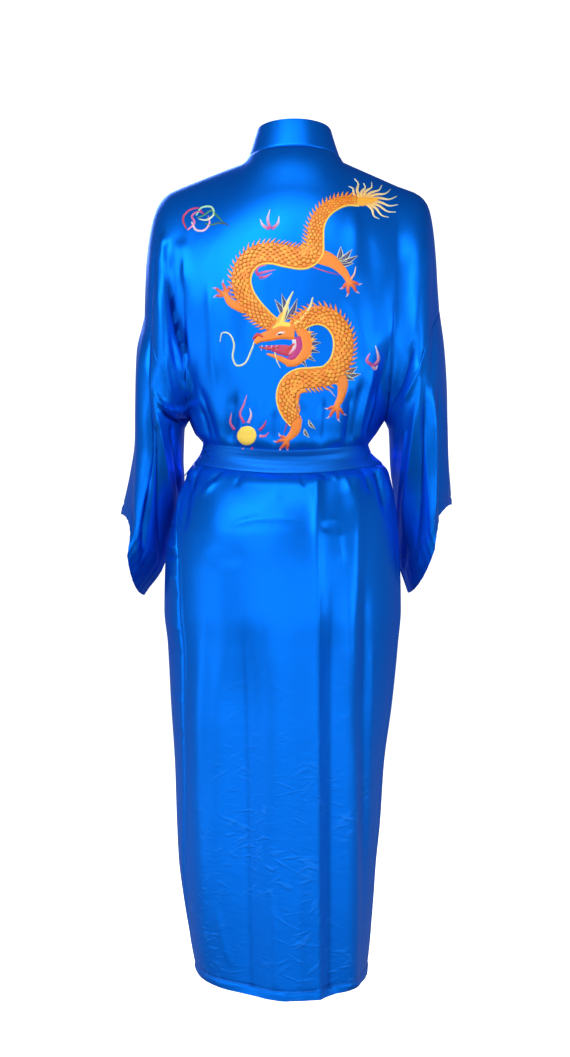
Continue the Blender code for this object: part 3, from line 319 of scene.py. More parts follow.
# Folds in millimetres: path (x0 z0 x1 z1 x2 z2) seen square from the back or front, width, height
# (minus is a trough), and sharpness (2 is soft, 1 is pressed)
backFolds = {"body": [
    # left armhole and upper sleeve
    (177, -123, 172, -199, 135, -355, 5.4, -10.9, 1.2), (183, -109, 181, -149, 171, -217, 4.9, 4.5, 1.5),
    (158, -118, 154, -155, 145, -210, 8.1, 3.5, 1.7), (193, -112, 203, -239, 203, -352, 3, -4.7, 1.2),
    (185, -155, 184, -254, 180, -337, 11.7, 4.5, 1.7), (198, -335, 174, -369, 138, -350, 4.3, 6.5, 1.3),
    (191, -358, 167, -382, 142, -371, 3.3, -5.7, 1.2), (165, -285, 157, -326, 145, -349, 5.4, 3, 1.5),
    (174, -254, 162, -306, 151, -340, 2.9, -2.9, 1.2), (135, -352, 123, -390, 112, -421, 4.7, -4.7, 1.2),
    (148, -361, 136, -390, 122, -413, 4, 3.5, 1.4),
    # right armhole and upper sleeve
    (-188, -115, -196, -190, -180, -330, 14, 1.2, 1.7), (-172, -135, -167, -210, -162, -320, 11, -1.8, 1.8),
    (-206, -138, -210, -239, -200, -355, 7, -3.6, 1.5), (-182, -258, -163, -318, -144, -372, 6.8, -6.6, 1.4),
    (-192, -286, -176, -330, -158, -366, 5.2, 4.2, 1.5), (-152, -210, -148, -261, -150, -309, 9, 1.2, 1.8),
    (-150, -248, -133, -326, -114, -410, 9.4, -5, 1.3), (-130, -335, -116, -378, -105, -410, 4.8, 4, 1.4),
    # soft folds of the back, above the sash
    (-91, -74, -93, -145, -88, -216, 12, 2, 2), (-108, -105, -116, -202, -119, -287, 14, -2.8, 2),
    (-71, -216, -88, -258, -108, -318, 9, -2, 2), (86, -145, 91, -244, 89, -344, 20, 2.5, 2),
    (60, -173, 63, -258, 57, -330, 12, -1.8, 2), (76, -337, 81, -384, 91, -429, 9, -4.5, 1.8),
    (70, -369, 71, -401, 76, -429, 3, 2.6, 1.6), (39, -351, 44, -394, 49, -429, 7, 2.4, 1.8),
    (20, -361, 23, -398, 22, -429, 5, -2.2, 1.8), (-14, -355, -17, -394, -18, -429, 8, 2.2, 1.8),
    (-49, -347, -47, -386, -42, -429, 6, -2.6, 1.8), (-72, -341, -69, -384, -65, -426, 8, 3.2, 1.8),
    (-88, -337, -85, -375, -79, -421, 5, -3, 1.7), (118, -180, 112, -260, 108, -352, 8, 2.8, 1.8),
    (132, -330, 120, -372, 108, -408, 5, -3.4, 1.5), (-124, -300, -110, -352, -98, -405, 5, 3.6, 1.6),
    (-106, -320, -96, -364, -88, -410, 4.4, -3.4, 1.5),
    # gathers under the sash
    (86, -449, 100, -462, 120, -477, 3.4, -4.8, 1.3), (94, -458, 111, -475, 131, -497, 4, 3.5, 1.3),
    (66, -455, 72, -468, 80, -482, 3, -2, 1.3), (22, -458, 20, -480, 16, -505, 7, 1, 1.6),
    (3, -458, -1, -464, -6, -472, 2.7, -1.4, 1.3), (-12, -458, -17, -469, -20, -483, 2.9, -2, 1.3),
    (-35, -455, -44, -463, -55, -470, 2.6, -4, 1.3), (-42, -452, -56, -460, -68, -475, 2.9, 3, 1.3),
    (-71, -449, -79, -472, -88, -500, 5.2, 2.5, 1.3), (-93, -443, -108, -466, -119, -500, 4.8, -2.2, 1.3),
    (-108, -435, -125, -452, -135, -489, 3.6, 3.5, 1.3),
    # pressed crease of the skirt and the folds beside it
    (-37, -452, -38, -670, -41, -1211, 7, 4, 1.3), (-57, -600, -58, -860, -60, -1193, 15, -8.4, 1.5),
    (-94, -470, -92, -620, -90, -860, 12, 4.4, 1.8), (-90, -780, -92, -1000, -90, -1193, 10.5, 5, 1.6),
    (-80, -560, -82, -850, -83, -1193, 9, 4.2, 1.6), (-103, -585, -106, -811, -104, -1150, 10, -3.4, 1.7),
    (-118, -670, -115, -868, -110, -1065, 6, 2, 1.8), (-42, -536, -54, -526, -68, -533, 4, 1, 1.6),
    (-43, -544, -53, -540, -64, -545, 4.8, -0.8, 1.7), (-66, -538, -70, -564, -73, -599, 6, 1.6, 1.7),
    (91, -539, 40, -526, -19, -533, 4.6, 1.6, 1.2), (120, -568, 92, -580, 54, -574, 15, -1.6, 2),
    (68, -640, 63, -920, 58, -1190, 25, -10.5, 1.5), (126, -680, 124, -930, 118, -1180, 26, 8.5, 1.7),
    (26, -1051, 23, -1115, 22, -1185, 3.6, 1.4, 1.4), (7, -585, 10, -783, 12, -1009, 24, 2.4, 2),
    (111, -642, 116, -811, 119, -1037, 11, -2.2, 2), (40, -642, 43, -811, 40, -1037, 10, -1.2, 2),
    (-14, -1037, -12, -1108, -15, -1185, 5, 1.2, 1.5), (105, -1065, 96, -1122, 82, -1171, 5, 1.6, 1.5),
    # small wrinkles across the strip beside the left side seam
    (172, -520, 180, -513, 186, -500, 4, 2.4, 1.5), (166, -540, 176, -536, 186, -538, 3.2, -2.6, 1.4),
    (164, -561, 174, -566, 184, -556, 3.6, 2.4, 1.5), (162, -584, 172, -580, 184, -588, 3, -2.4, 1.4),
    (160, -606, 170, -612, 182, -604, 3.8, 2.2, 1.5), (160, -640, 168, -634, 182, -644, 3.4, -2.2, 1.4),
    (158, -676, 168, -682, 180, -672, 4, 2, 1.5), (156, -726, 166, -718, 176, -730, 3.4, -2, 1.4),
    (154, -780, 164, -788, 174, -776, 4, 2, 1.5), (152, -848, 160, -838, 168, -852, 3.6, -1.8, 1.4),
    (150, -470, 150, -500, 156, -560, 6, -3, 1.6), (140, -458, 158, -480, 168, -520, 5, 3.6, 1.4),
    (126, -449, 138, -466, 146, -496, 3.4, -3.6, 1.4), (-128, -455, -140, -474, -148, -510, 5, 3.6, 1.4),
    (-122, -460, -131, -484, -138, -525, 4, -3.6, 1.3),
], "arm": [
    # left sleeve
    (204, -331, 207, -470, 221, -630, 3.7, -10.4, 1.2), (213, -234, 219, -412, 228, -625, 7.7, 6.5, 1.7),
    (199, -336, 186, -423, 175, -525, 5.2, 7, 1.3), (175, -517, 178, -560, 194, -598, 4, 4.5, 1.3),
    (194, -397, 193, -499, 196, -601, 3.6, -5.2, 1.2), (171, -394, 165, -470, 167, -537, 3.2, -5.7, 1.2),
    (234, -499, 232, -565, 229, -609, 2.5, -3.3, 1.2), (190, -587, 202, -613, 212, -628, 4, 3, 1.3),
    # right sleeve
    (-188, -300, -177, -445, -171, -585, 7, 8, 1.5), (-195, -325, -192, -450, -186, -595, 5, -5.4, 1.4),
    (-203, -315, -210, -450, -206, -580, 6.2, 7, 1.5), (-214, -315, -222, -440, -222, -560, 4, -6.2, 1.3),
    (-226, -330, -233, -430, -235, -515, 4.2, 3.6, 1.5), (-160, -377, -154, -455, -152, -530, 6, -3, 1.5),
    (-168, -400, -164, -480, -162, -560, 3, 2.2, 1.4), (-176, -550, -171, -600, -175, -628, 3.6, -3.6, 1.4),
    (-196, -570, -188, -610, -181, -630, 3.4, 3.4, 1.4),
]}
frontFolds = {"body": [
    (158, -180, 142, -260, 120, -372, 12, -11, 2), (-160, -170, -148, -250, -126, -372, 12, -11, 2),
    (110, -130, 70, -270, 20, -400, 18, 6, 2), (136, -250, 96, -330, 46, -405, 13, 5, 2),
    (120, -190, 85, -300, 35, -400, 10, -4, 2), (-110, -130, -90, -260, -60, -400, 18, 6, 2),
    (-130, -240, -116, -320, -90, -400, 11, -4, 2), (-20, -450, 40, -600, 85, -860, 16, 9, 1.8),
    (10, -450, 70, -540, 120, -660, 12, 7, 1.8), (4, -452, 46, -540, 100, -700, 8, -6, 1.6),
    (-8, -452, 16, -620, 40, -920, 9, -6, 1.6), (-50, -450, -30, -700, -20, -1206, 16, 8, 1.8),
    (-62, -470, -52, -720, -48, -1160, 8, -5, 1.6), (50, -700, 60, -900, 64, -1206, 18, 8, 1.8),
    (88, -760, 94, -960, 96, -1180, 9, -4, 1.6), (20, -640, 26, -860, 28, -1100, 11, -5, 1.7),
    (-100, -450, -112, -560, -118, -760, 12, 6, 1.8), (-116, -470, -130, -560, -138, -700, 7, -4, 1.6),
    (-90, -640, -96, -860, -94, -1140, 15, 5, 1.8), (112, -450, 126, -500, 136, -580, 12, 6, 1.8),
    (60, -448, 66, -475, 72, -510, 6, -5, 1.6), (86, -448, 94, -480, 102, -520, 5, 4, 1.6),
    (-76, -446, -80, -474, -82, -510, 6, -5, 1.6), (138, -700, 134, -820, 128, -980, 10, 4, 1.8),
], "arm": [
    (200, -150, 205, -300, 196, -440, 11, -9, 2), (222, -370, 220, -480, 222, -600, 12, 8, 2),
    (200, -400, 198, -500, 200, -570, 9, -9, 2), (184, -420, 182, -470, 186, -530, 7, 5, 2),
    (-202, -160, -206, -300, -194, -440, 11, -9, 2), (-222, -370, -220, -480, -206, -580, 12, 8, 2),
    (-196, -400, -192, -500, -186, -570, 9, -9, 2), (-178, -420, -174, -480, -172, -550, 7, 5, 2),
]}
foldRules = {
    "ends": 0.30,  # share of a fold over which it fades in and out
    "slimEnds": 0.6,
    "turn": (-0.15, 0.35),
    "sharedAbove": -0.389,
    "steepest": 1.7,
    "steps": 40,
    "margin": 0.01,
    "startsAtSash": 0.045,  # a fold that begins this near the sash doesn't fade there
    "endsAtSash": 0.025,
    "endsAtHem": 0.03,
    "underSash": 0.016,  # half the height that the sash presses flat, then as much to rise again
    "sashHalfSpan": 0.13,
}


def sashGap(points):  # height above or below the middle of the sash on the back
    dip = robe["sashDipBack"] * (1.0 - (points[:, 0] / foldRules["sashHalfSpan"])**2).clip(0.0, 1.0)
    return np.abs(points[:, 2] - (robe["sashMiddleZ"] - dip))


def foldHeight(points, piece, folds):
    total = np.zeros(len(points))
    shared = points[:, 2] > foldRules["sharedAbove"]
    flat = points[:, [0, 2]]
    t = np.linspace(0.0, 1.0, foldRules["steps"] + 1)[:, None]
    for owner, row in [(owner, row) for owner in folds for row in folds[owner]]:
        corners = np.array(row[:6]).reshape(3, 2) / 1000
        width, height, sharp = row[6] / 1000, row[7] / 1000, row[8]
        width = max(width, abs(height) / foldRules["steepest"])
        margin = 4 * width + foldRules["margin"]
        near = ((flat > corners.min(axis=0) - margin) & (flat < corners.max(axis=0) + margin)).all(axis=1)
        spots = np.flatnonzero(near if owner == piece else near & shared)
        if not len(spots):
            continue
        start, middle, end = corners
        bend = 2.0 * middle - 0.5 * (start + end)
        path = (1 - t)**2 * start + 2 * t * (1 - t) * bend + t**2 * end
        here = flat[spots]
        best = np.full(len(spots), 9.0)
        place = np.zeros(len(spots))
        for k, (a, b) in enumerate(zip(path, path[1:])):  # nearest place on each short piece of the path
            run = b - a
            s = np.clip(((here - a) @ run) / (run @ run), 0.0, 1.0)
            gap = np.linalg.norm(here - a - s[:, None] * run, axis=1)
            place = np.where(gap < best, (k + s) / foldRules["steps"], place)
            best = np.minimum(gap, best)
        fade = np.ones(len(spots))
        if abs(start[1] - robe["sashMiddleZ"]) > foldRules["startsAtSash"]:
            fade = fade * smoothStep(0.0, foldRules["ends"], place)
        if (end[1] > robe["hemZ"] + foldRules["endsAtHem"]
                and abs(end[1] - robe["sashMiddleZ"]) > foldRules["endsAtSash"]):
            fade = fade * (1.0 - smoothStep(1.0 - foldRules["ends"], 1.0, place))
        slim = width * (foldRules["slimEnds"] + (1.0 - foldRules["slimEnds"]) * fade)
        total[spots] += height * np.exp(-(best / slim)**sharp) * fade
    if piece == "body":
        total *= smoothStep(foldRules["underSash"], 2 * foldRules["underSash"], sashGap(points))
    return total


def frontReach(values, upper):
    z = robe["underarmZ"] + (robe["neckSideZ"] - robe["underarmZ"]) * values if upper else values
    return column(robe["frontEdges"], "z reach", "reach", z)


def backColumns(height):
    n = robe["bodyColumns"] // 2
    half = np.linspace(1.0, 0.0, n + 1)
    neck, onShoulder = robe["neckShare"], robe["shoulderColumns"]
    top = np.where(half > onShoulder, neck + (1 - neck) * (half - onShoulder) / (1 - onShoulder),
                   neck * half / onShoulder)
    places = half + (top - half) * smoothStep(robe["columnsShiftFrom"], 1.0, height)
    return np.concatenate([places, -places[:-1][::-1]])


def backGrid():
    rows = [upperPoint(1, backColumns(h), h) for h in upperHeights]
    return np.array(rows + [lowerPoint(1, backColumns(0.0), level) for level in bodyRows[1:]])


def frontGrid(sign):
    count = robe["frontColumns"] + 1
    rows = [upperPoint(-1, sign * np.linspace(1.0, frontReach(h, True), count), h) for h in upperHeights]
    return np.array(rows + [lowerPoint(-1, sign * np.linspace(1.0, frontReach(level, False), count), level)
                            for level in bodyRows[1:]])


def evened(grid, width, amount):  # smooths the columns over a length, where the amount is 1
    along = walked(grid[:, grid.shape[1] // 2])
    kernel = np.exp(-((along[:, None] - along[None]) / width)**2) * np.maximum(np.gradient(along), 1e-9)
    smooth = np.einsum("rs,scd->rcd", kernel / kernel.sum(1, keepdims=True), grid)
    return grid + (smooth - grid) * amount[..., None]


def offEdges(place, share):  # 0 at both ends of a length of 1, and 1 inside
    return smoothStep(0.0, share, np.minimum(place, 1.0 - place))


def armGrid(arm, sign, stations, way):
    angles = np.linspace(0.0, 180.0, robe["upperRows"] + 1) * way
    return armRingPoint(arm, sign, stations[:, None], angles[None, :])


allHeights = np.concatenate([upperHeights, np.zeros(len(bodyRows) - 1)])
allReach = np.concatenate([frontReach(upperHeights, True), frontReach(bodyRows[1:], False)])
underShare = 1.0 - smoothStep(*robe["underFades"], allHeights)


def layUnder(grid, plain):  # the under layer of the wrap lies in from the upper one, without folds
    across = -np.linspace(1.0, allReach, grid.shape[1]).T
    share = smoothStep(*robe["underAcross"], across) * underShare[:, None]
    inner = plain - unit(plain * [1.0, 1.0, 0.0]) * robe["underLayerDepth"]
    return grid + (inner - grid) * share[..., None]


def bandInner(sign, seam):  # where the band's free edge lies on the front
    n = len(upperHeights)

    def onFront(reach):
        return np.concatenate([upperPoint(-1, sign * reach[:n], upperHeights),
                               lowerPoint(-1, sign * reach[n:], bodyRows[1:])])

    way = np.concatenate([seam[1:], seam[-1:]]) - np.concatenate([seam[:1], seam[:-1]])
    slant = np.linalg.norm(way, axis=1) / np.maximum(np.abs(way[:, 2]), 1e-6)
    width = robe["bandWidth"] * np.minimum(slant, robe["bandSlant"])
    probe = 0.02
    gap = np.linalg.norm(onFront(allReach - probe) - onFront(allReach), axis=1)
    share = probe * width / np.maximum(gap, 1e-5)
    share[:n] = np.minimum(share[:n], robe["bandReach"])
    return onFront(allReach - share)


def bandGrid(leftEdge, leftInner, neck, rightEdge, rightInner):
    seam = np.concatenate([leftEdge[::-1], neck[1:-1], rightEdge])
    inner = np.concatenate([leftInner[::-1], neck[1:-1], rightInner])
    middle = len(leftEdge) + (len(neck) - 2) // 2
    along = walked(seam)
    along = np.abs(along - along[middle])
    sign = np.where(np.arange(len(seam)) < middle, 1.0, -1.0) * np.minimum(along / robe["bandTurn"], 1.0)
    inward, forward, up = (column(bandLeans, bandNames, name, along) for name in bandNames.split()[1:])
    lean = unit(np.stack([-sign * inward, -forward, up], axis=1))
    share = smoothStep(*robe["bandLiesFlat"], along)[:, None]
    way = unit(lean * (1.0 - share) + unit(inner - seam) * share)
    rows = []
    for step in np.linspace(0.0, robe["bandWidth"], robe["bandColumns"] + 1):
        flatRow = seam + (inner - seam) * (step / robe["bandWidth"])
        rows.append(flatRow * share + (seam + way * step) * (1.0 - share))
    return np.array(rows)


class Skin:  # welded outer surface of several grids, so that neighbours share their normals
    def __init__(self, grids):
        self.shapes = [g.shape for g in grids]
        points = np.concatenate([g.reshape(-1, 3) for g in grids])
        keys = np.round(points * 1e6).astype(np.int64)
        _, self.first, self.index = np.unique(keys, axis=0, return_index=True, return_inverse=True)
        self.index = self.index.reshape(-1)
        self.points = points[self.first]
        quads = []
        start = 0
        for rows, cols, _ in self.shapes:
            n = start + np.arange(rows * cols).reshape(rows, cols)
            quads.append(np.stack([n[:-1, :-1], n[1:, :-1], n[1:, 1:], n[:-1, 1:]], -1).reshape(-1, 4))
            start += rows * cols
        self.quads = [self.index[q] for q in quads]
        self.starts = np.cumsum([0] + [s[0] * s[1] for s in self.shapes])

    def normals(self):
        total = np.zeros_like(self.points)
        for quads in self.quads:
            p = self.points[quads]
            cross = np.cross(p[:, 2] - p[:, 0], p[:, 3] - p[:, 1])
            for k in range(4):
                np.add.at(total, quads[:, k], cross)
        return unit(total)


    def spots(self, k):  # the number of each point of a grid
        return self.index[self.starts[k]:self.starts[k + 1]].reshape(self.shapes[k][:2])

    def grid(self, values, k):
        return values[self.spots(k)]


class Value:  # a socket that takes part in Python expressions
    def __init__(self, shade, socket):
        self.shade = shade
        self.socket = socket

    def maths(self, operation, a, b):
        return self.shade.node("ShaderNodeMath", {"operation": operation}, {0: a, 1: b})

    def __add__(self, other):
        return self.maths("ADD", self, other)

    __radd__ = __add__

    def __sub__(self, other):
        return self.maths("SUBTRACT", self, other)

    def __rsub__(self, other):
        return self.maths("SUBTRACT", other, self)

    def __mul__(self, other):
        return self.maths("MULTIPLY", self, other)


class Shade:  # one material and its tree
    def __init__(self, name):
        self.material = bpy.data.materials.new(name)
        self.material.use_nodes = True
        self.tree = self.material.node_tree
        self.shader = self.tree.nodes["Principled BSDF"]

    def node(self, kind, settings=None, values=None, output=0):
        made = self.tree.nodes.new(kind)
        for key, value in (settings or {}).items():
            setattr(made, key, value)
        for key, value in (values or {}).items():
            self.join(made.inputs[key], value)
        return Value(self, made.outputs[output])

    def join(self, socket, value):
        if isinstance(value, Value):
            self.tree.links.new(value.socket, socket)
        else:
            socket.default_value = value

    def set(self, **values):  # inputs of the shader, named in camelCase
        for key, value in values.items():
            words = "".join(" " + c if c.isupper() else c for c in key).title()
            self.join(self.shader.inputs[words], value)

    def mix(self, factor, a, b):
        return self.node("ShaderNodeMix", {"data_type": "RGBA"}, {0: factor, 6: a, 7: b}, 2)

    def place(self, source="Object", scale=(1, 1, 1), turn=(0, 0, 0)):
        if source == "UV":
            start = self.node("ShaderNodeUVMap", {"uv_map": "cloth"})
        else:
            start = self.node("ShaderNodeTexCoord", None, None, 3)
        turned = self.node("ShaderNodeMapping", None, {"Vector": start, "Rotation": turn})
        return self.node("ShaderNodeMapping", None, {"Vector": turned, "Scale": scale})

    def noise(self, where, scale, detail=2.0, rough=0.5, twist=0.0):
        return self.node("ShaderNodeTexNoise", None, {"Vector": where, "Scale": scale, "Detail": detail,
                                                      "Roughness": rough, "Distortion": twist})

    def ramp(self, value, low, high):  # 0 below low, 1 above high, smooth between
        return self.node("ShaderNodeMapRange", {"interpolation_type": "SMOOTHSTEP"},
                         {"Value": value, "From Min": low, "From Max": high})

    def bump(self, height, strength, distance, normal=None):
        values = {"Height": height, "Strength": strength, "Distance": distance}
        if normal is not None:
            values["Normal"] = normal
        return self.node("ShaderNodeBump", None, values)


satinLook = {
    "colour": (0.0019, 0.160, 0.79, 1.0),
    "deepColour": (0.0014, 0.130, 0.69, 1.0),
    "edgeColour": (0.02, 0.36, 0.92, 1.0),
    # painted shade: the colour that the fold valleys darken to, standing in for their shadow
    "paintedFoldShadeColour": (0.0006, 0.037, 0.29, 1.0),
    "paintedFoldShade": (0.462, 0.4990, 0.85),  # painted shade in concave folds: curvature from and to, and how far it darkens
    "slubColour": (0.004, 0.24, 0.95, 1.0),
    "worn": (0.010, 0.20, 0.86, 1.0),  # painted highlight: pale lines along the small creases, where they catch the light
    "metallic": 0.72,
    "roughness": 0.37,
    "lowSkirt": (-0.62, -0.98),  # heights between which the fine creases set in
    "lowMetallic": 0.30,
    "lowRoughness": 0.06,
    "unevenRoughness": (0.08, 0.06),
    "wrinkleDepth": 0.0019,
    "threadDepth": 0.00005,
    "thread": (0.6, 0.4, 0.6),  # slubs, weft, strength
    # noises: turn, stretch, scale, detail, roughness, twist, share of the relief
    "streaks": (0, (1.0, 1.0, 0.16), 34.0, 2.0, 0.5, 0.2, 0.20),
    "soft": (0.25, (1.0, 1.0, 0.5), 15.0, 2.0, 0.5, 0.4, 0.75),
    "ripples": (0.2, (0.30, 1.0, 1.0), 105.0, 2.0, 0.6, 0.3, 0.20),
    # short creases three ways: turn and scale; then where they show and how much
    "creases": ((0.95, 104.0), (-1.15, 122.0), (1.40, 138.0)),
    "creaseEdge": (0.60, 0.76),
    "creasePatches": (0.34, 0.60),
    "creaseShares": (0.06, 0.74, 0.24, 0.6),  # everywhere, low on the skirt, in the relief, in the colour as painted highlight
}
sashLook = {
    "colour": (0.006, 0.145, 0.66, 1.0),
    "deepColour": (0.005, 0.120, 0.58, 1.0),
    "wrinkleDepth": 0.0013,
    "roughness": 0.47,
}


def satinMaterial(name, look):
    s = Shade(name)
    where = s.place()
    broad = s.noise(where, 5.0)
    slubs = s.noise(s.place("UV", scale=(900.0, 60.0, 1.0)), 1.0)
    weft = s.noise(s.place("UV", scale=(140.0, 2600.0, 1.0)), 1.0, 1.0)
    lowSkirt = s.ramp(s.node("ShaderNodeSeparateXYZ", None, {0: where}, 2), *look["lowSkirt"])

    def relief(which):
        turn, stretch, *rest, share = look[which]
        return s.noise(s.place(scale=stretch, turn=(0, turn, 0)), *rest), share

    everywhere, low, inRelief, inColour = look["creaseShares"]
    marks = 0.0
    for turn, scale in look["creases"]:
        thin = s.noise(s.place(scale=(1.0, 1.0, 0.20), turn=(0, turn, 0)), scale, 1.0, 0.4, 0.10)
        marks = s.ramp(thin, *look["creaseEdge"]) + marks
    patches = s.ramp(s.noise(where, 9.0, 1.0), *look["creasePatches"])
    marks = marks * patches * (lowSkirt * lowSkirt * low + everywhere)
    ripples, share = relief("ripples")
    wrinkles = marks * inRelief + ripples * (lowSkirt * share)
    for which in ("streaks", "soft"):
        bumps, share = relief(which)
        wrinkles = wrinkles + bumps * share
    normal = s.bump(wrinkles, 1.0, look["wrinkleDepth"])
    slubShare, weftShare, strength = look["thread"]
    normal = s.bump(slubs * slubShare + weft * weftShare, strength, look["threadDepth"], normal)
    bend = s.node("ShaderNodeNewGeometry", None, None, "Pointiness")
    flat, full, darkening = look["paintedFoldShade"]
    base = s.mix(broad, look["deepColour"], look["colour"])
    base = s.mix(slubs * 0.10, base, look["slubColour"])
    # painted highlight: lightens the colour along the small creases
    base = s.mix(marks * inColour, base, look["worn"])
    # painted shade: darkens the colour where the mesh is concave, in the valleys of the folds
    base = s.mix((1 - s.ramp(bend, flat, full)) * darkening, base, look["paintedFoldShadeColour"])
    fine, wide = look["unevenRoughness"]
    rough = lowSkirt * look["lowRoughness"] + (slubs - 0.5) * fine + (broad - 0.5) * wide
    s.set(baseColor=base, roughness=rough + look["roughness"], normal=normal,
          metallic=look["metallic"] - lowSkirt * look["lowMetallic"], specularTint=look["edgeColour"])
    return s.material


def addMesh(name, points, faces, material, slot, uv=None, smooth=True):
    mesh = bpy.data.meshes.new(name)
    faces = np.asarray(faces)
    mesh.vertices.add(len(points))
    mesh.vertices.foreach_set("co", np.asarray(points, np.float32).ravel())
    mesh.loops.add(faces.size)
    mesh.loops.foreach_set("vertex_index", faces.astype(np.int32).ravel())
    mesh.polygons.add(len(faces))
    mesh.polygons.foreach_set("loop_start", np.arange(0, faces.size, 3, dtype=np.int32))
    mesh.update(calc_edges=True)
    mesh.validate()
    if uv is not None:
        layer = mesh.uv_layers.new(name="cloth")
        order = np.zeros(len(mesh.loops), np.int32)
        mesh.loops.foreach_get("vertex_index", order)
        layer.data.foreach_set("uv", np.asarray(uv, np.float32)[order].ravel())
    mesh.materials.append(material)
    if smooth:
        mesh.shade_smooth()
        mesh.set_sharp_from_angle(angle=math.radians(80.0))
    piece = addObject(name, mesh)
    piece["slotName"] = slot
    return piece


def clothUv(skin, which, used):  # lengths along the rows and columns of the grids, in metres
    uv = np.zeros((len(skin.points), 2))
    for k in which:
        grid = skin.grid(skin.points, k)
        across = np.linalg.norm(np.diff(grid, axis=1), axis=2)
        down = np.linalg.norm(np.diff(grid, axis=0), axis=2)
        u = np.concatenate([np.zeros((grid.shape[0], 1)), np.cumsum(across, axis=1)], axis=1)
        v = np.concatenate([np.zeros((1, grid.shape[1])), np.cumsum(down, axis=0)], axis=0)
        uv[skin.spots(k)] = np.stack([u - u[:, -1:] / 2, -v], axis=-1)
    return uv[used]


def shell(name, skin, normals, which, thickness, material, slot):
    # One piece of cloth from some grids of the skin: outer wall, inner wall and rim
    corners = np.concatenate([skin.quads[k] for k in which])
    flattened = (corners == np.roll(corners, -1, axis=1)).any(axis=1)
    used, places = np.unique(corners, return_inverse=True)
    places = places.reshape(-1, 4)
    quads = places[~flattened]
    tris = [[c for k, c in enumerate(face) if c != face[k - 1]] for face in places[flattened]]
    tris = np.array([face for face in tris if len(face) == 3], int).reshape(-1, 3)
    outer = skin.points[used]
    inner = outer - normals[used] * thickness
    count = len(used)
    edges = np.concatenate([quads[:, [k, (k + 1) % 4]] for k in range(4)]
                           + [tris[:, [k, (k + 1) % 3]] for k in range(3)])
    rim = edges[~np.isin(edges @ [count + 1, 1], edges @ [1, count + 1])]
    faces = np.concatenate([
        quads[:, [0, 1, 2]], quads[:, [0, 2, 3]], tris,
        quads[:, [2, 1, 0]] + count, quads[:, [3, 2, 0]] + count, tris[:, ::-1] + count,
        np.stack([rim[:, 1], rim[:, 0], rim[:, 0] + count], 1),
        np.stack([rim[:, 1], rim[:, 0] + count, rim[:, 1] + count], 1)])
    uv = clothUv(skin, which, used)
    print(name, "triangles", len(faces))
    return addMesh(name, np.concatenate([outer, inner]), faces, material, slot, np.concatenate([uv, uv]))


def dress(piece, node=None):
    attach(piece, "root")
    if node:
        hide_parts(node)


satin = satinMaterial("royal blue satin", satinLook)
sashSatin = satinMaterial("sash satin", {**satinLook, **sashLook})

stations = {"cap": np.linspace(-1.0, 0.0, robe["capRings"] + 1),
            "tube": np.linspace(0.0, 1.0, robe["sleeveRings"] + 1)}
armGrids = {}
for name, sign in (("left", 1), ("right", -1)):
    for part in stations:
        for way, turn in (("back", 1), ("front", -1)):
            armGrids[name, part, way] = armGrid(arms[name], sign, stations[part], turn)
        armGrids[name, part, "front"][:, [0, -1]] = armGrids[name, part, "back"][:, [0, -1]]
    for way in ("back", "front"):
        armGrids[name, "tube", way][0] = armGrids[name, "cap", way][-1]
back = backGrid()
left = frontGrid(1)
rightOuter = frontGrid(-1)
n = robe["upperRows"] + 1
shoulderShare = robe["bodyColumns"] // 4  # columns of the back from an armhole to the neck
back[:n, 0] = armGrids["left", "cap", "back"][0]
back[:n, -1] = armGrids["right", "cap", "back"][0]
for grid, name, side, shoulder in ((left, "left", 0, back[0]), (rightOuter, "right", -1, back[0, ::-1])):
    grid[:n, 0] = armGrids[name, "cap", "front"][0]
    grid[n - 1:, 0] = back[n - 1:, side]
    places = np.linspace(0, shoulderShare, grid.shape[1])
    grid[0] = readOff(shoulder[:shoulderShare + 1], np.arange(shoulderShare + 1), places)
near, far, length, share = robe["underarmEvened"]
nearUnderarm = 1.0 - smoothStep(near, far, np.abs(back[:, len(back[0]) // 2, 2] - robe["underarmZ"]))
back, left, rightOuter = (evened(grid, length, nearUnderarm[:, None]
                                 * offEdges(np.linspace(0.0, 1.0, grid.shape[1]), share))
                          for grid in (back, left, rightOuter))
length, share, offTop, low, high = robe["backEvened"]
belowTop = smoothStep(0.0, offTop, 1.0 - upperHeights) * smoothStep(low, high, upperHeights)
belowTop = np.concatenate([belowTop, np.zeros(len(bodyRows) - 1)])
amount = offEdges(np.linspace(0.0, 1.0, back.shape[1]), share)[:, None] * belowTop
back = evened(back.transpose(1, 0, 2), length, amount)
back = back.transpose(1, 0, 2)
leftInner = bandInner(1, left[:, -1])
rightInner = bandInner(-1, rightOuter[:, -1])
armKeys = list(armGrids)
base = Skin([back, left, rightOuter] + list(armGrids.values()))
turnedGrids = [1] + [3 + k for k, key in enumerate(armKeys) if (key[0] == "left") == (key[2] == "front")]
for k in turnedGrids:
    base.quads[k] = base.quads[k][:, ::-1]
baseNormals = base.normals()
isBody = np.isin(np.arange(len(base.points)), base.index[:base.starts[3]])
towardBack = smoothStep(*foldRules["turn"], baseNormals[:, 1])
towardFront = smoothStep(*foldRules["turn"], -baseNormals[:, 1])
push = np.zeros(len(base.points))
for piece, mask in (("body", isBody), ("arm", ~isBody)):
    spots = np.flatnonzero(mask)
    push[spots] = (towardBack[spots] * foldHeight(base.points[spots], piece, backFolds)
                   + towardFront[spots] * foldHeight(base.points[spots], piece, frontFolds))
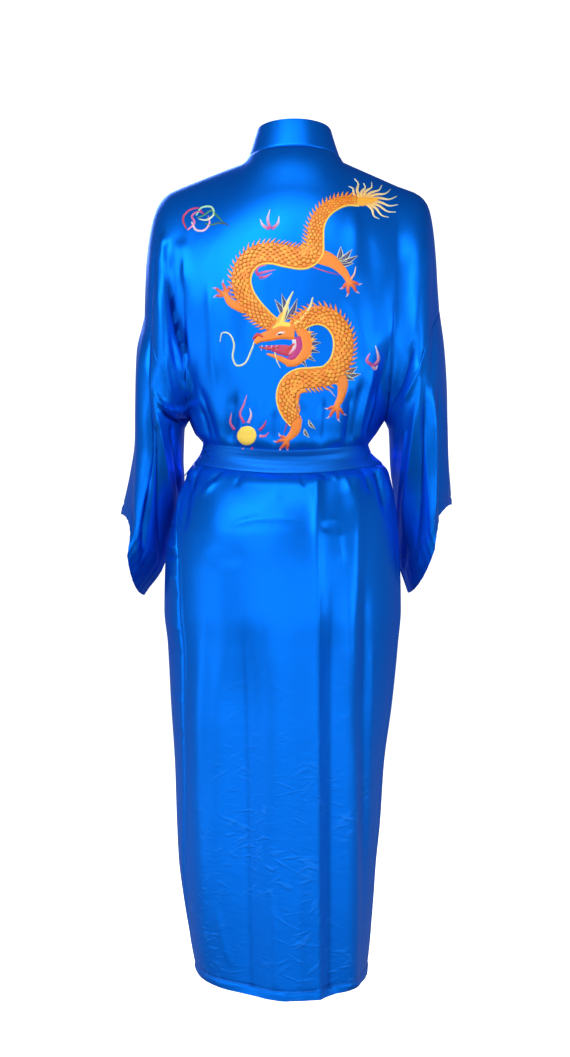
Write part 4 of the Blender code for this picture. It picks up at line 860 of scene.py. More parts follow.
seams = {
    "groove": -0.0009,
    "hemWidth": 0.012,
    "hemRise": 0.0007,
    "hemWave": 0.0026,
    # the shape of the wave: mean, swing and pitch, how it lags and the pitch of that, small ripples
    "hemWaves": (0.5, 0.35, 95.0, 1.3, 41.0, 0.15, 260.0, 90.0),
    "hemOval": (0.14, 0.13),
    "hemEdge": (0.002, 0.0005),
    "hemGroove": (0.0007, 0.0024),
    "swell": (0.0022, 0.026, 0.009),  # beside the sash: height, distance from its middle, width
    "cuffFrom": 0.955,
    "cuffEdge": 0.006,
    "cuffRise": 0.0007,
    "cuffRipple": (0.6, 0.4, 0.9),  # mean, swing, and turn per column
    "cuffGroove": (0.0006, 0.008),
    # columns beside the side seam, and how far they stand out
    "sideSeam": (([0, -1], -0.0018), ([2, -3], 0.0010), ([3, -4], 0.0007)),
}


def hemPush(points):  # the turned hem stands out a little and waves
    x, y, z = points.T
    mean, swing, pitch, lag, lagPitch, fine, finePitch, slant = seams["hemWaves"]
    wave = mean + swing * np.sin(x * pitch + lag * np.sin(x * lagPitch))
    wave = wave + fine * np.sin(x * finePitch + y * slant)
    turn = np.degrees(np.arctan2(x / seams["hemOval"][0], y / seams["hemOval"][1]))
    edge = bodyPoint(turn, robe["hemZ"])[:, 2] + seams["hemWidth"]
    below, above = seams["hemEdge"]
    inHem = 1.0 - smoothStep(edge - below, edge + above, z)
    depth, width = seams["hemGroove"]
    return inHem * (seams["hemRise"] + seams["hemWave"] * wave) - depth * np.exp(-((z - edge) / width)**2)


body = base.points[isBody]
height, distance, width = seams["swell"]
push[isBody] += hemPush(body) + height * np.exp(-((sashGap(body) - distance) / width)**2)
fromCuff = (stations["tube"] - seams["cuffFrom"])[:, None]
inCuff = smoothStep(-seams["cuffEdge"], 0.0, fromCuff)
depth, width = seams["cuffGroove"]
besideCuff = depth * np.exp(-((fromCuff + width) / width)**2)
mean, swing, turn = seams["cuffRipple"]
for k, key in enumerate(armKeys):
    if key[1] == "tube":
        spots = base.spots(3 + k)
        push[spots[0]] += seams["groove"] / 2
        ripple = mean + swing * np.sin(np.arange(spots.shape[1]) * turn)
        push[spots] += inCuff * seams["cuffRise"] * ripple - besideCuff
sideSpots = base.spots(0)[n:]
for columns, height in seams["sideSeam"]:
    push[sideSpots[:, columns].ravel()] += height
folded = base.points + baseNormals * push[:, None]
print("folds laid")
shapedBack, shapedLeft, shapedRight = (base.grid(folded, k) for k in range(3))
rightUnder = layUnder(shapedRight, rightOuter)
under = rightInner - unit(rightInner * [1.0, 1.0, 0.0]) * (robe["underLayerDepth"] * underShare)[:, None]
neckLine = shapedBack[0, shoulderShare:len(shapedBack[0]) - shoulderShare]
band = bandGrid(shapedLeft[:, -1], leftInner, neckLine, rightUnder[:, -1], under)
skin = Skin([shapedBack, shapedLeft, rightUnder, band] + [base.grid(folded, 3 + k) for k in range(8)])
for k in [3] + [k + (k > 2) for k in turnedGrids]:
    skin.quads[k] = skin.quads[k][:, ::-1]
skinNormals = skin.normals()


def armSpot(side, part, way):
    return 4 + armKeys.index((side, part, way))


robePieces = {
    "robeBack": ("back", [0, armSpot("left", "cap", "back"), armSpot("right", "cap", "back")]),
    "robeFrontLeft": ("front_left", [1, armSpot("left", "cap", "front")]),
    "robeFrontRight": ("front_right", [2, armSpot("right", "cap", "front")]),
    "sleeveLeft": ("sleeve_left", [armSpot("left", "tube", "back"), armSpot("left", "tube", "front")]),
    "sleeveRight": ("sleeve_right", [armSpot("right", "tube", "back"), armSpot("right", "tube", "front")]),
    "robeNeckband": ("neckband", [3]),
}
for name, (node, which) in robePieces.items():
    dress(shell(name, skin, skinNormals, which, robe["clothThickness"], satin, "satin"), node)
print("robe shells built")


# A traditional dragon with a pearl, drawn here in millimetres as seen from behind: the first number
# runs to the right from the middle of the back, the second down from the shoulder line
threads = {
    "orange": (0.86, 0.235, 0.018), "gold": (0.95, 0.44, 0.045), "yellow": (0.95, 0.68, 0.09),
    "cream": (0.70, 0.76, 0.46), "white": (0.74, 0.72, 0.74), "magenta": (0.46, 0.018, 0.20),
    "pink": (0.74, 0.24, 0.44), "red": (0.56, 0.040, 0.030), "dark": (0.012, 0.018, 0.070),
    "green": (0.006, 0.20, 0.12), "mint": (0.16, 0.66, 0.42), "brown": (0.22, 0.045, 0.012),
    "navy": (0.002, 0.030, 0.20),
}
threadLook = {
    "shadeColour": (0.25, 0.06, 0.01, 1.0),
    "shadeShare": 0.30,
    "rimColour": (0.40, 0.075, 0.008, 1.0),
    "rimShare": 0.55,
    "roughness": 0.42,
    "unevenRoughness": 0.2,
    "lineDepth": 0.00012,
    "sink": -0.15,  # how far the edge of a strip sinks into the cloth
    "fullWidth": 4.0,  # the width at which a strip has its full dome
    "bodyEdge": 2.2,
}
scaleLook = {
    "step": 4.6,
    "rows": ((-0.40, 0.0, 0.40), (-0.60, -0.2, 0.2, 0.60)),
    "spread": 1.12,
    "towardCrest": 0.06,
    "length": 0.27,
    "lift": (1.25, 0.35),
    "spikeStep": 5.2,
    "spikeOff": 2.6,
    "spikeLean": -0.8,
    "spikeLength": (10.0, 14.0),
    "spikeLift": 0.45,
    "mostGold": 0.8,
}
bodies = {  # path, widths, and the side that the crest stands on
    "hind": ([(99, 69), (80, 69), (60, 78), (45, 92), (37, 110), (35, 130), (33, 147), (20, 157), (-2, 154),
              (-26, 149), (-48, 152), (-64, 166), (-70, 187), (-65, 208), (-53, 226), (-38, 241), (-24, 252)],
             [15, 17, 19, 21, 23, 25, 28, 31, 32, 31, 30, 29, 28, 28, 27, 25, 22], 1),
    "fore": ([(4, 256), (20, 243), (40, 237), (60, 244), (73, 262), (76, 284), (70, 306), (54, 322),
              (32, 326), (12, 328), (-2, 339), (-6, 357), (-1, 375), (8, 388)],
             [22, 25, 27, 28, 28, 29, 30, 30, 29, 29, 29, 28, 25, 20], -1),
}
backQuads = np.concatenate([skin.quads[k] for k in robePieces["robeBack"][1]])
clothTree = BVHTree.FromPolygons(skin.points.tolist(), backQuads.tolist())


def onBack(across, down, lift):  # a place on the back, lifted from the cloth, and the way out there
    points, ways = [], []
    for a, d, h in zip(np.ravel(across), np.ravel(down), np.ravel(lift)):
        place, way, _, _ = clothTree.ray_cast(Vector((-a * 0.001, 0.4, -d * 0.001)), Vector((0, -1, 0)))
        way = way if way.y > 0 else -way
        points.append(place + way * (h * 0.001))
        ways.append(way)
    shape = np.shape(across) + (3,)
    return np.array(points).reshape(shape), np.array(ways).reshape(shape)


class Needlework:  # gathers strips of thread into one mesh
    def __init__(self):
        self.points, self.faces, self.tints, self.uvs, self.count = [], [], [], [], 0

    def strip(self, path, widths, tint, lift, dome, across=5, step=1.6, tipTint=None):
        length = walked(path)[-1]
        rows = max(6, int(length / step))
        middle, _, side, width = pathFrame(path, widths, rows)
        share = np.linspace(-1.0, 1.0, across)
        places = middle[:, None] + side[:, None] * share[None, :, None] * width[:, None, None] / 2
        full = threadLook["fullWidth"]
        rise = lift + dome * np.minimum(width, full)[:, None] / full * np.sqrt(1.0 - share**2)
        rise = np.where(np.abs(share) == 1.0, threadLook["sink"], rise)
        points, _ = onBack(places[..., 0], places[..., 1], rise)
        start, end = np.array(threads[tint]), np.array(threads[tipTint or tint])
        tints = start + (end - start) * np.linspace(0, 1, rows)[:, None]
        along = np.repeat(np.linspace(0, length, rows), across)
        self.points.append(points.reshape(-1, 3))
        self.faces.append(tubeFaces(rows, across) + self.count)
        self.tints.append(np.repeat(tints, across, axis=0))
        self.uvs.append(np.stack([(share * width[:, None] / 2).ravel(), along], axis=1) * 0.001)
        self.count += rows * across

    def leaf(self, root, tip, width, bend, lift):  # a fin or mane lock: dark, with cream edges
        root, tip = np.array(root, float), np.array(tip, float)
        run = tip - root
        aside = np.array([-run[1], run[0]])
        for sign in (1, -1):
            swell = aside * bend + aside / np.linalg.norm(aside) * width / 2 * sign
            self.strip([root, root + run * 0.45 + swell, tip], [1.1, 1.9, 0.8], "cream", lift, 0.5, 3)
        middle = root + aside * bend
        self.strip([root, middle + run * 0.45, tip], [1.0, width, 0.4], "navy", lift - 0.25, 0.2)
        self.strip([root, middle + run * 0.4, root + run * 0.8], [0.6, 1.2, 0.5], "yellow", lift, 0.4, 3)

    def claw(self, ankle, heading, size=1.0, lift=0.75):  # a foot with four toes and pale nails
        for turn, reach in ((-62, 13), (-22, 16), (20, 16), (62, 12)):
            angle = math.radians(heading + turn)
            way = np.array([math.cos(angle), math.sin(angle)])
            curl = np.array([-way[1], way[0]]) * (3.0 if turn > 0 else -3.0)
            tip = np.array(ankle) + way * reach * size
            knuckle = np.array(ankle) + way * reach * 0.55 * size + curl * 0.4
            self.strip([ankle, knuckle, tip], [6.4, 5.4, 3.8], "orange", lift, 0.6, 5, 1.3, "red")
            self.strip([tip - way * 2.5, tip + way * 2.5 + curl * 0.3, tip + way * 5.0 * size + curl],
                       [3.8, 3.0, 0.8], "pink", lift + 0.2, 0.5, 3, 1.3, "white")

    def mesh(self, name, material):
        points, uvs, tints = (np.concatenate(parts) for parts in (self.points, self.uvs, self.tints))
        piece = addMesh(name, points, np.concatenate(self.faces), material, "", uvs)
        setField(piece.data, "tint", "FLOAT_COLOR", "color", np.column_stack([tints, np.ones(len(tints))]))
        print(name, "triangles", len(piece.data.polygons))
        return piece


# path, widths, thread, lift, dome, columns, step, and the thread that it turns into
legStrokes = [
    ([(38, 152), (60, 161), (76, 176), (84, 190)], [24, 20, 13, 8], "orange", 0.5, 0.9, 7),
    ([(84, 189), (91, 178), (93, 168)], [4, 3, 1], "orange", 0.8, 0.5, 5, 1.3, "white"),
    ([(28, 168), (50, 175), (70, 180)], [1.5, 2.4, 1.2], "pink", 0.9, 0.4, 3, 1.6, "magenta"),
    ([(-52, 226), (-68, 226), (-84, 220), (-92, 208)], [20, 15, 11, 8], "orange", 0.5, 0.9, 7),
    ([(-70, 219), (-80, 216), (-86, 206)], [1.4, 2.2, 1.0], "white", 1.0, 0.4, 3, 1.6, "pink"),
    ([(62, 316), (74, 330), (73, 350), (66, 366)], [24, 18, 12, 9], "orange", 0.5, 0.9, 7),
    ([(44, 337), (56, 343), (64, 352)], [1.4, 2.4, 1.0], "pink", 1.0, 0.4, 3, 1.6, "white"),
    ([(8, 384), (7, 400), (-4, 413)], [20, 14, 8], "orange", 0.5, 0.9, 7),
    ([(-4, 376), (-5, 392), (-9, 404)], [1.6, 2.6, 1.0], "magenta", 1.0, 0.5, 3),
]
claws = [((84, 190), 75), ((-92, 207), -125), ((66, 367), 105), ((-5, 414), 150, 0.9)]
plume = [(-128, 24), (-104, 33), (-84, 26), (-66, 32), (-46, 38), (-30, 44), (-14, 47), (2, 46), (17, 44),
         (33, 38), (50, 30), (150, 12)]
# root, bend and lift, then the tip and width of each leaf
leaves = [
    ((66, 160), 0.12, 0.5, [((72, 139), 7), ((88, 143), 7), ((96, 152), 7), ((90, 163), 7)]),
    ((76, 318), 0.12, 0.5, [((96, 309), 6), ((101, 319), 6), ((92, 328), 6)]),
    ((26, 385), 0.12, 0.5, [((36, 398), 4)]),
    ((20, 398), 0.12, 0.5, [((27, 410), 4)]),
    ((8, 275), 0.08, 0.8, [((28, 252), 8), ((38, 263), 8), ((44, 276), 9), ((42, 290), 9), ((36, 303), 8),
                           ((24, 312), 8)]),
    ((-8, 246), 0.08, 0.8, [((-22, 215), 7), ((-12, 207), 8), ((10, 214), 8)]),
]
headStrokes = [
    ([(90, 69), (104, 68), (116, 66), (128, 62)], [13, 16, 12, 2], "gold", 0.9, 0.6, 7),  # root of the tail
    ([(-14, 250), (-8, 232), (-2, 216), (4, 204)], [9, 8, 5, 2.0], "yellow", 1.1, 0.7, 5, 1.6, "cream"),
    ([(2, 254), (18, 240), (28, 226), (32, 212)], [9, 8, 5, 2.0], "yellow", 1.1, 0.7, 5, 1.6, "cream"),
    ([(-20, 254), (-14, 240), (-6, 228)], [8, 7, 1], "gold", 1.2, 0.6),
    ([(14, 258), (22, 270), (22, 288), (8, 304), (-6, 308)], [15, 19, 18, 12, 5], "orange", 1.0, 0.9, 7),
    ([(10, 268), (12, 282), (4, 296), (-6, 300)], [13, 15, 11, 3], "magenta", 1.2, 0.6, 7),
    ([(6, 272), (6, 283), (-2, 293)], [7, 8, 3], "white", 1.4, 0.5, 5, 1.6, "pink"),
    ([(6, 278), (-2, 284), (-8, 292)], [4, 3.4, 1], "red", 1.6, 0.6),
    ([(-36, 282), (-20, 285), (-2, 288), (8, 290)], [3, 11, 16, 12], "magenta", 1.1, 0.4, 7, 1.6, "red"),
    ([(-33, 292), (-18, 297), (-2, 304), (12, 303)], [3, 7, 10, 9], "orange", 1.3, 0.8, 7),
    ([(6, 260), (-10, 260), (-26, 265), (-42, 270), (-50, 276)], [26, 24, 18, 14, 7], "orange", 1.5, 0.9, 9),
    ([(0, 252), (-14, 251), (-26, 256)], [9, 9, 3], "yellow", 1.9, 0.7),
    ([(-38, 268), (-47, 265), (-53, 271)], [5, 6, 2], "red", 1.9, 0.7),
    ([(-44, 282), (-30, 285), (-14, 282)], [2, 3.6, 2], "red", 1.8, 0.5),
    ([(-8, 262), (-14, 263), (-20, 266)], [3, 8, 2], "white", 2.2, 0.5),
    ([(-12, 264), (-15, 264.5), (-18, 265)], [2, 4.6, 2], "dark", 2.6, 0.4, 5, 1.0),
    ([(-2, 257), (-13, 258), (-24, 263)], [1, 2.4, 0.8], "dark", 2.5, 0.3, 3),
    ([(-50, 272), (-56, 288), (-64, 304), (-76, 308), (-82, 296), (-80, 278), (-86, 264), (-97, 262),
      (-100, 274)], [2.4, 2.8, 2.8, 2.8, 2.8, 2.8, 2.6, 2.2, 1.2], "cream", 0.7, 0.7),
    ([(-22, 290), (-19, 302), (-14, 312)], [2.4, 2.2, 0.8], "cream", 1.9, 0.6),
]
# small motifs: where they stand; path, thread and the thread that it turns into; then the width at
# the root, along the stroke and at the tip, and the step
motifs = [
    ((0, 0), 4.5, 3.4, 0.8, 1.4, [  # flames round the pearl
        ([(-66, 389), (-72, 376), (-66, 362), (-62, 350)], "magenta", "pink"),
        ([(-60, 389), (-56, 378), (-58, 368)], "pink", "white"),
        ([(-80, 398), (-86, 388), (-84, 374)], "magenta", "pink"),
        ([(-44, 400), (-38, 394), (-34, 386)], "magenta", "red"),
        ([(-44, 408), (-36, 408), (-30, 402)], "pink", "magenta"),
        ([(-68, 424), (-66, 432), (-58, 433)], "pink", "white"),
        ([(-56, 424), (-50, 432), (-46, 426)], "magenta", "pink")]),
    ((-30, 100), 5, 4.4, 0.8, 1.4, [  # three flame wisps
        ([(0, 14), (-9, 8), (-13, -1)], "magenta", "white"),
        ([(2, 14), (-2, 0), (1, -15)], "magenta", "white"),
        ([(4, 14), (12, 6), (14, -5)], "magenta", "white")]),
    ((-36, 175), 4.6, 4.0, 0.8, 1.4, [
        ([(-12, 5), (0, 1), (15, -2)], "magenta", "pink"),
        ([(-12, 3), (-10, -6), (2, -9)], "magenta", "pink"),
        ([(-8, 9), (0, 8), (10, 3)], "magenta", "pink")]),
    ((118, 296), 5, 5, 0.9, 1.4, [
        ([(0, 10), (-8, 4), (-4, -7)], "magenta", "pink"),
        ([(3, 10), (9, 0), (4, -18)], "magenta", "white"),
        ([(-2, 8), (4, 15), (8, 9)], "magenta", "white")]),
    ((-128, 96), 2.2, 3.2, 1.2, 1.5, [  # cloud knot at the shoulder
        ([(-22, 12), (-27, -4), (-20, -16), (-6, -20), (2, -12)], "red", "magenta"),
        ([(-20, 14), (-10, 4), (-14, -8), (-4, -14), (6, -8)], "pink", "magenta"),
        ([(-14, 2), (-8, 14), (4, 16), (12, 6), (10, -6)], "white", "pink"),
        ([(-8, -8), (0, -20), (14, -20), (18, -8), (8, 0), (-4, -2)], "mint", "cream"),
        ([(-6, -4), (4, -8), (14, -14), (24, -4), (34, 8)], "green", "green"),
        ([(6, 6), (16, 8), (26, 6), (36, 8), (40, 12)], "green", "dark")]),
]


def drawDragon(work):
    for stroke in legStrokes + headStrokes:
        work.strip(*stroke)
    for foot in claws:
        work.claw(*foot)
    for root, bend, lift, tips in leaves:
        for tip, width in tips:
            work.leaf(root, tip, width, bend, lift)
    for path, widths, side in bodies.values():  # dark edge, the body, then its pale belly line
        work.strip(path, [w + threadLook["bodyEdge"] for w in widths], "brown", 0.1, 0.1)
        work.strip(path, widths, "orange", 0.45, 0.9, 9)
        line, _, aside, width = pathFrame(path, widths, 60)
        inward = side * (width / 2 - 0.4)[:, None]
        work.strip(line - aside * inward, [2.4, 3.0, 3.0, 2.4], "yellow", 1.1, 0.7)
    for angle, reach in plume:
        way = np.array([math.cos(math.radians(angle)), math.sin(math.radians(angle))])
        root = np.array([104.0, 68.0]) + way * [7, 5]
        aside = np.array([-way[1], way[0]]) * 2.4
        work.strip([root - way * 9, root + way * reach * 0.35 - aside, root + way * reach * 0.72 + aside,
                    root + way * reach - aside * 0.4], [8, 5.4, 3.4, 0.8], "gold", 0.6, 0.5, 5, 1.6, "cream")
    for x, y in ((27, 262), (31, 272), (31, 284), (25, 296)):  # pale spots of the cheek
        work.strip([(x - 6, y + 1), (x, y), (x + 7, y - 1)], [6, 5, 0.6], "gold", 1.2, 0.4, 3)
    for x in (-40, -33, -26, -19):  # teeth
        work.strip([(x, 280), (x - 1.0, 284), (x - 1.2, 288)], [3.0, 2.2, 0.5], "white", 1.8, 0.5, 3, 1.2)


def drawSmallMotifs(work):
    for (x, y), root, along, end, step, strokes in motifs:
        for path, tint, tip in strokes:
            widths = [root] + [along] * (len(path) - 2) + [end]
            work.strip([(x + a, y + b) for a, b in path], widths, tint, 0.5, 0.6, 5, step, tip)
    half = np.linspace(-1.0, 1.0, 17)
    pearl = np.column_stack([-62 + 14 * half, np.full(17, 407)])
    work.strip(pearl, 0.6 + 27 * np.sqrt(1 - half**2), "yellow", 0.8, 1.1, 13, 1.2)
    work.strip([(-72, 410), (-62, 414), (-52, 409)], [0.8, 1.4, 0.8], "gold", 1.9, 0.4, 3)
    for x in (-69, -64, -59, -54):
        work.strip([(x, 403), (x, 405.5)], [1.6, 1.6], "brown", 1.9, 0.3, 3, 1.0)


def threadMaterial():
    s = Shade("embroidery thread")
    tint = s.node("ShaderNodeAttribute", {"attribute_name": "tint"})
    rim = s.node("ShaderNodeAttribute", {"attribute_name": "rim"}, None, 2)
    lines = s.noise(s.place("UV", scale=(500.0, 2600.0, 1.0)), 1.0, 1.0)
    shade = s.noise(s.place(), 160.0)
    shaded = s.mix(0.5, tint, threadLook["shadeColour"])
    colour = s.mix(shade * threadLook["shadeShare"], tint, shaded)
    colour = s.mix(rim * threadLook["rimShare"], colour, threadLook["rimColour"])
    rough = (lines - 0.5) * threadLook["unevenRoughness"] + threadLook["roughness"]
    s.set(baseColor=colour, roughness=rough, normal=s.bump(lines, 0.8, threadLook["lineDepth"]))
    return s.material


def petal(name, count=10, tall=0.16, pointed=0.0):  # a domed scale or spike of unit size, its tip along +X
    angles = np.linspace(0, 2 * math.pi, count, endpoint=False)
    x, y = 0.5 * np.cos(angles), 0.5 * np.sin(angles) * (1.0 - pointed * (np.cos(angles) + 1) / 2)
    points = np.concatenate([np.column_stack([x, y, 0 * x]),
                             np.column_stack([x * 0.72 - 0.03, y * 0.66, tall + 0 * x]),
                             [[-0.05, 0.0, tall * 1.25], [0.0, 0.0, -0.06]]])
    faces = []
    for k in range(count):
        j = (k + 1) % count
        faces += [(k, j, j + count, k + count), (k + count, j + count, 2 * count), (j, k, 2 * count + 1)]
    mesh = bpy.data.meshes.new(name)
    mesh.from_pydata(points.tolist(), [], faces)
    rim = [1.0 if a > -0.2 else 0.4 for a in x] + [0.0] * (count + 1) + [1.0]
    setField(mesh, "rim", "FLOAT", "value", rim)
    mesh.shade_smooth()
    return addObject(name, mesh)


def placingTree():  # repeats one small shape on points that carry their own way out, way along and size
    tree = bpy.data.node_groups.new("place along", "GeometryNodeTree")
    for name, kind in (("Geometry", "Geometry"), ("Shape", "Object"), ("Uneven", "Float"), ("Seed", "Int"),
                       ("Material", "Material")):
        tree.interface.new_socket(name, in_out="INPUT", socket_type="NodeSocket" + kind)
    tree.interface.new_socket("Geometry", in_out="OUTPUT", socket_type="NodeSocketGeometry")

    def add(kind, inputs=None, **settings):
        node = tree.nodes.new(kind)
        for key, value in settings.items():
            setattr(node, key, value)
        for key, value in (inputs or {}).items():
            if isinstance(value, bpy.types.NodeSocket):
                tree.links.new(value, node.inputs[key])
            else:
                node.inputs[key].default_value = value
        return node.outputs

    def named(field):
        return add("GeometryNodeInputNamedAttribute", {"Name": field}, data_type="FLOAT_VECTOR")["Attribute"]

    start = add("NodeGroupInput")
    least = add("ShaderNodeMath", {0: 1.0, 1: start["Uneven"]}, operation="SUBTRACT")[0]
    chance = add("FunctionNodeRandomValue", {2: least, 3: 1.0, "Seed": start["Seed"]}, data_type="FLOAT")[1]
    size = add("ShaderNodeVectorMath", {0: named("size"), "Scale": chance}, operation="SCALE")[0]
    turn = add("FunctionNodeAxesToRotation", {"Primary Axis": named("outWay"),
                                              "Secondary Axis": named("alongWay")},
               primary_axis="Z", secondary_axis="X")[0]
    places = add("GeometryNodeMeshToPoints", {"Mesh": start["Geometry"]})["Points"]
    shape = add("GeometryNodeObjectInfo", {"Object": start["Shape"]})["Geometry"]
    laid = add("GeometryNodeInstanceOnPoints",
               {"Points": places, "Instance": shape, "Rotation": turn, "Scale": size})["Instances"]
    real = add("GeometryNodeRealizeInstances", {"Geometry": laid})["Geometry"]
    painted = add("GeometryNodeSetMaterial", {"Geometry": real, "Material": start["Material"]})["Geometry"]
    add("NodeGroupOutput", {0: painted})
    return tree


def repeat(name, shape, points, outWays, alongWays, sizes, tints, uneven=0.15, seed=3):
    mesh = bpy.data.meshes.new(name + " points")
    mesh.vertices.add(len(points))
    mesh.vertices.foreach_set("co", np.asarray(points, np.float32).ravel())
    for key, values in (("outWay", outWays), ("alongWay", alongWays), ("size", sizes)):
        setField(mesh, key, "FLOAT_VECTOR", "vector", values)
    setField(mesh, "tint", "FLOAT_COLOR", "color", np.column_stack([tints, np.ones(len(points))]))
    holder = addObject(name + " points", mesh)
    modifier = holder.modifiers.new("place", "NODES")
    modifier.node_group = placing
    given = {"Shape": shape, "Uneven": uneven, "Seed": seed, "Material": thread}
    for item in placing.interface.items_tree:
        if item.in_out == "INPUT" and item.name in given:
            modifier[item.identifier] = given[item.name]
    bpy.context.view_layer.update()
    graph = bpy.context.evaluated_depsgraph_get()
    finished = bpy.data.meshes.new_from_object(holder.evaluated_get(graph))
    finished.name = name
    bpy.data.objects.remove(holder, do_unlink=True)
    piece = addObject(name, finished)
    piece["slotName"] = ""
    print(name, "repeats", len(points), "faces", len(finished.polygons))
    dress(piece)


def layScales():
    scale = petal("scale shape", 10, 0.055)
    spike = petal("spike shape", 8, 0.07, 0.9)
    chance = np.random.default_rng(11)
    scales, spikes = [], []  # place, way along, length and lift of each
    for path, widths, side in bodies.values():
        line, way, aside, width = pathFrame(path, widths, int(walked(path)[-1] / scaleLook["step"]))
        low, more = scaleLook["lift"]
        for k in range(1, len(line) - 1):
            for place in scaleLook["rows"][k % 2]:
                off = place * scaleLook["spread"] + scaleLook["towardCrest"] * side
                spot = line[k] + aside[k] * off * width[k] / 2
                lift = low + more * math.sqrt(1 - place**2)
                scales.append((spot, way[k], width[k] * scaleLook["length"], lift))
        line, way, aside, width = pathFrame(path, widths, int(walked(path)[-1] / scaleLook["spikeStep"]))
        for k in range(1, len(line) - 2):
            spot = line[k] + aside[k] * side * (width[k] / 2 + scaleLook["spikeOff"])
            along = unit(way[k] * scaleLook["spikeLean"] + aside[k] * side)
            spikes.append((spot, along, chance.uniform(*scaleLook["spikeLength"]), scaleLook["spikeLift"]))
    for name, rows, shape, ratio in (("dragonScales", scales, scale, 0.92),
                                     ("dragonCrest", spikes, spike, 0.46)):
        spots, ways, size, lift = (np.array(values) for values in zip(*rows))
        size = size * 0.001
        points, out = onBack(spots[:, 0], spots[:, 1], lift)
        along = np.column_stack([-ways[:, 0], np.zeros(len(rows)), -ways[:, 1]])
        mixing = chance.uniform(0.0, scaleLook["mostGold"], len(rows))[:, None]
        tints = np.array(threads["orange"]) * (1 - mixing) + np.array(threads["gold"]) * mixing
        repeat(name, shape, points, out, along, np.column_stack([size, size * ratio, size]), tints)
        bpy.data.objects.remove(shape, do_unlink=True)


placing = placingTree()
thread = threadMaterial()
for name, draw in (("dragonEmbroidery", drawDragon), ("smallMotifs", drawSmallMotifs)):
    needlework = Needlework()
    draw(needlework)
    dress(needlework.mesh(name, thread))
layScales()
print("embroidery done")

stitchLook = {"pitch": 0.0034, "size": (0.0024, 0.0006, 0.0006), "hemRow": -6, "cuffRow": 0.945,
              "lift": 0.0001, "colour": (0.010, 0.20, 0.80)}


def stitchLine(row, wayOut):  # even places along a row of points
    along = walked(row)
    at = np.arange(stitchLook["pitch"], along[-1] - stitchLook["pitch"], stitchLook["pitch"])
    places = readOff(row, along, at)
    out = unit(readOff(wayOut, along, at))
    return places + out * stitchLook["lift"], out, unit(np.gradient(places, axis=0))


def layStitches():  # along the hem and the cuffs
    cuffRow = int(round(stitchLook["cuffRow"] * robe["sleeveRings"]))
    rows = [(k, stitchLook["hemRow"]) for k in range(3)]
    rows += [(armSpot(side, "tube", way), cuffRow) for side in ("left", "right") for way in ("back", "front")]
    lines = [stitchLine(skin.grid(skin.points, k)[row], skin.grid(skinNormals, k)[row]) for k, row in rows]
    points, out, along = (np.concatenate(parts) for parts in zip(*lines))
    shape = petal("stitch shape", 6, 0.5)
    sizes = np.tile(stitchLook["size"], (len(points), 1))
    tints = np.tile(stitchLook["colour"], (len(points), 1))
    repeat("hemStitches", shape, points, out, along, sizes, tints, 0.25, 5)
    bpy.data.objects.remove(shape, do_unlink=True)


def cord(name, path, radius, material, sides=8):
    path = spline(path, 60)
    way = unit(np.gradient(path, axis=0))
    first = unit(np.cross(way, [0.0, 0.0, 1.0]) + [0.0, 1e-6, 0.0])
    second = np.cross(way, first)
    angles = np.linspace(0, 2 * math.pi, sides, endpoint=False)
    rings = path[:, None] + radius * (first[:, None] * np.cos(angles)[None, :, None]
                                      + second[:, None] * np.sin(angles)[None, :, None])
    uv = np.stack([np.tile(angles * radius, len(path)), np.repeat(np.linspace(0, 0.06, len(path)), sides)], 1)
    dress(addMesh(name, rings.reshape(-1, 3), tubeFaces(len(path), sides), material, "", uv))


# The thread loop that holds the sash: turn, height, and distance from the robe
loopPlaces = [(79, -0.404, 0.0), (78, -0.411, 0.0040), (78, -0.428, 0.0046), (77, -0.446, 0.0056),
              (76, -0.456, 0.0064), (80, -0.461, 0.0050), (83, -0.452, 0.0030), (82, -0.446, 0.0008)]
layStitches()
loopPoints = np.array([bodyPoint(turn, level) for turn, level, _ in loopPlaces])
loopOff = np.array([[off] for _, _, off in loopPlaces])
cord("sashLoop", loopPoints + unit(loopPoints * [1.0, 1.0, 0.0]) * loopOff, 0.0007, sashSatin)
print("stitches done")

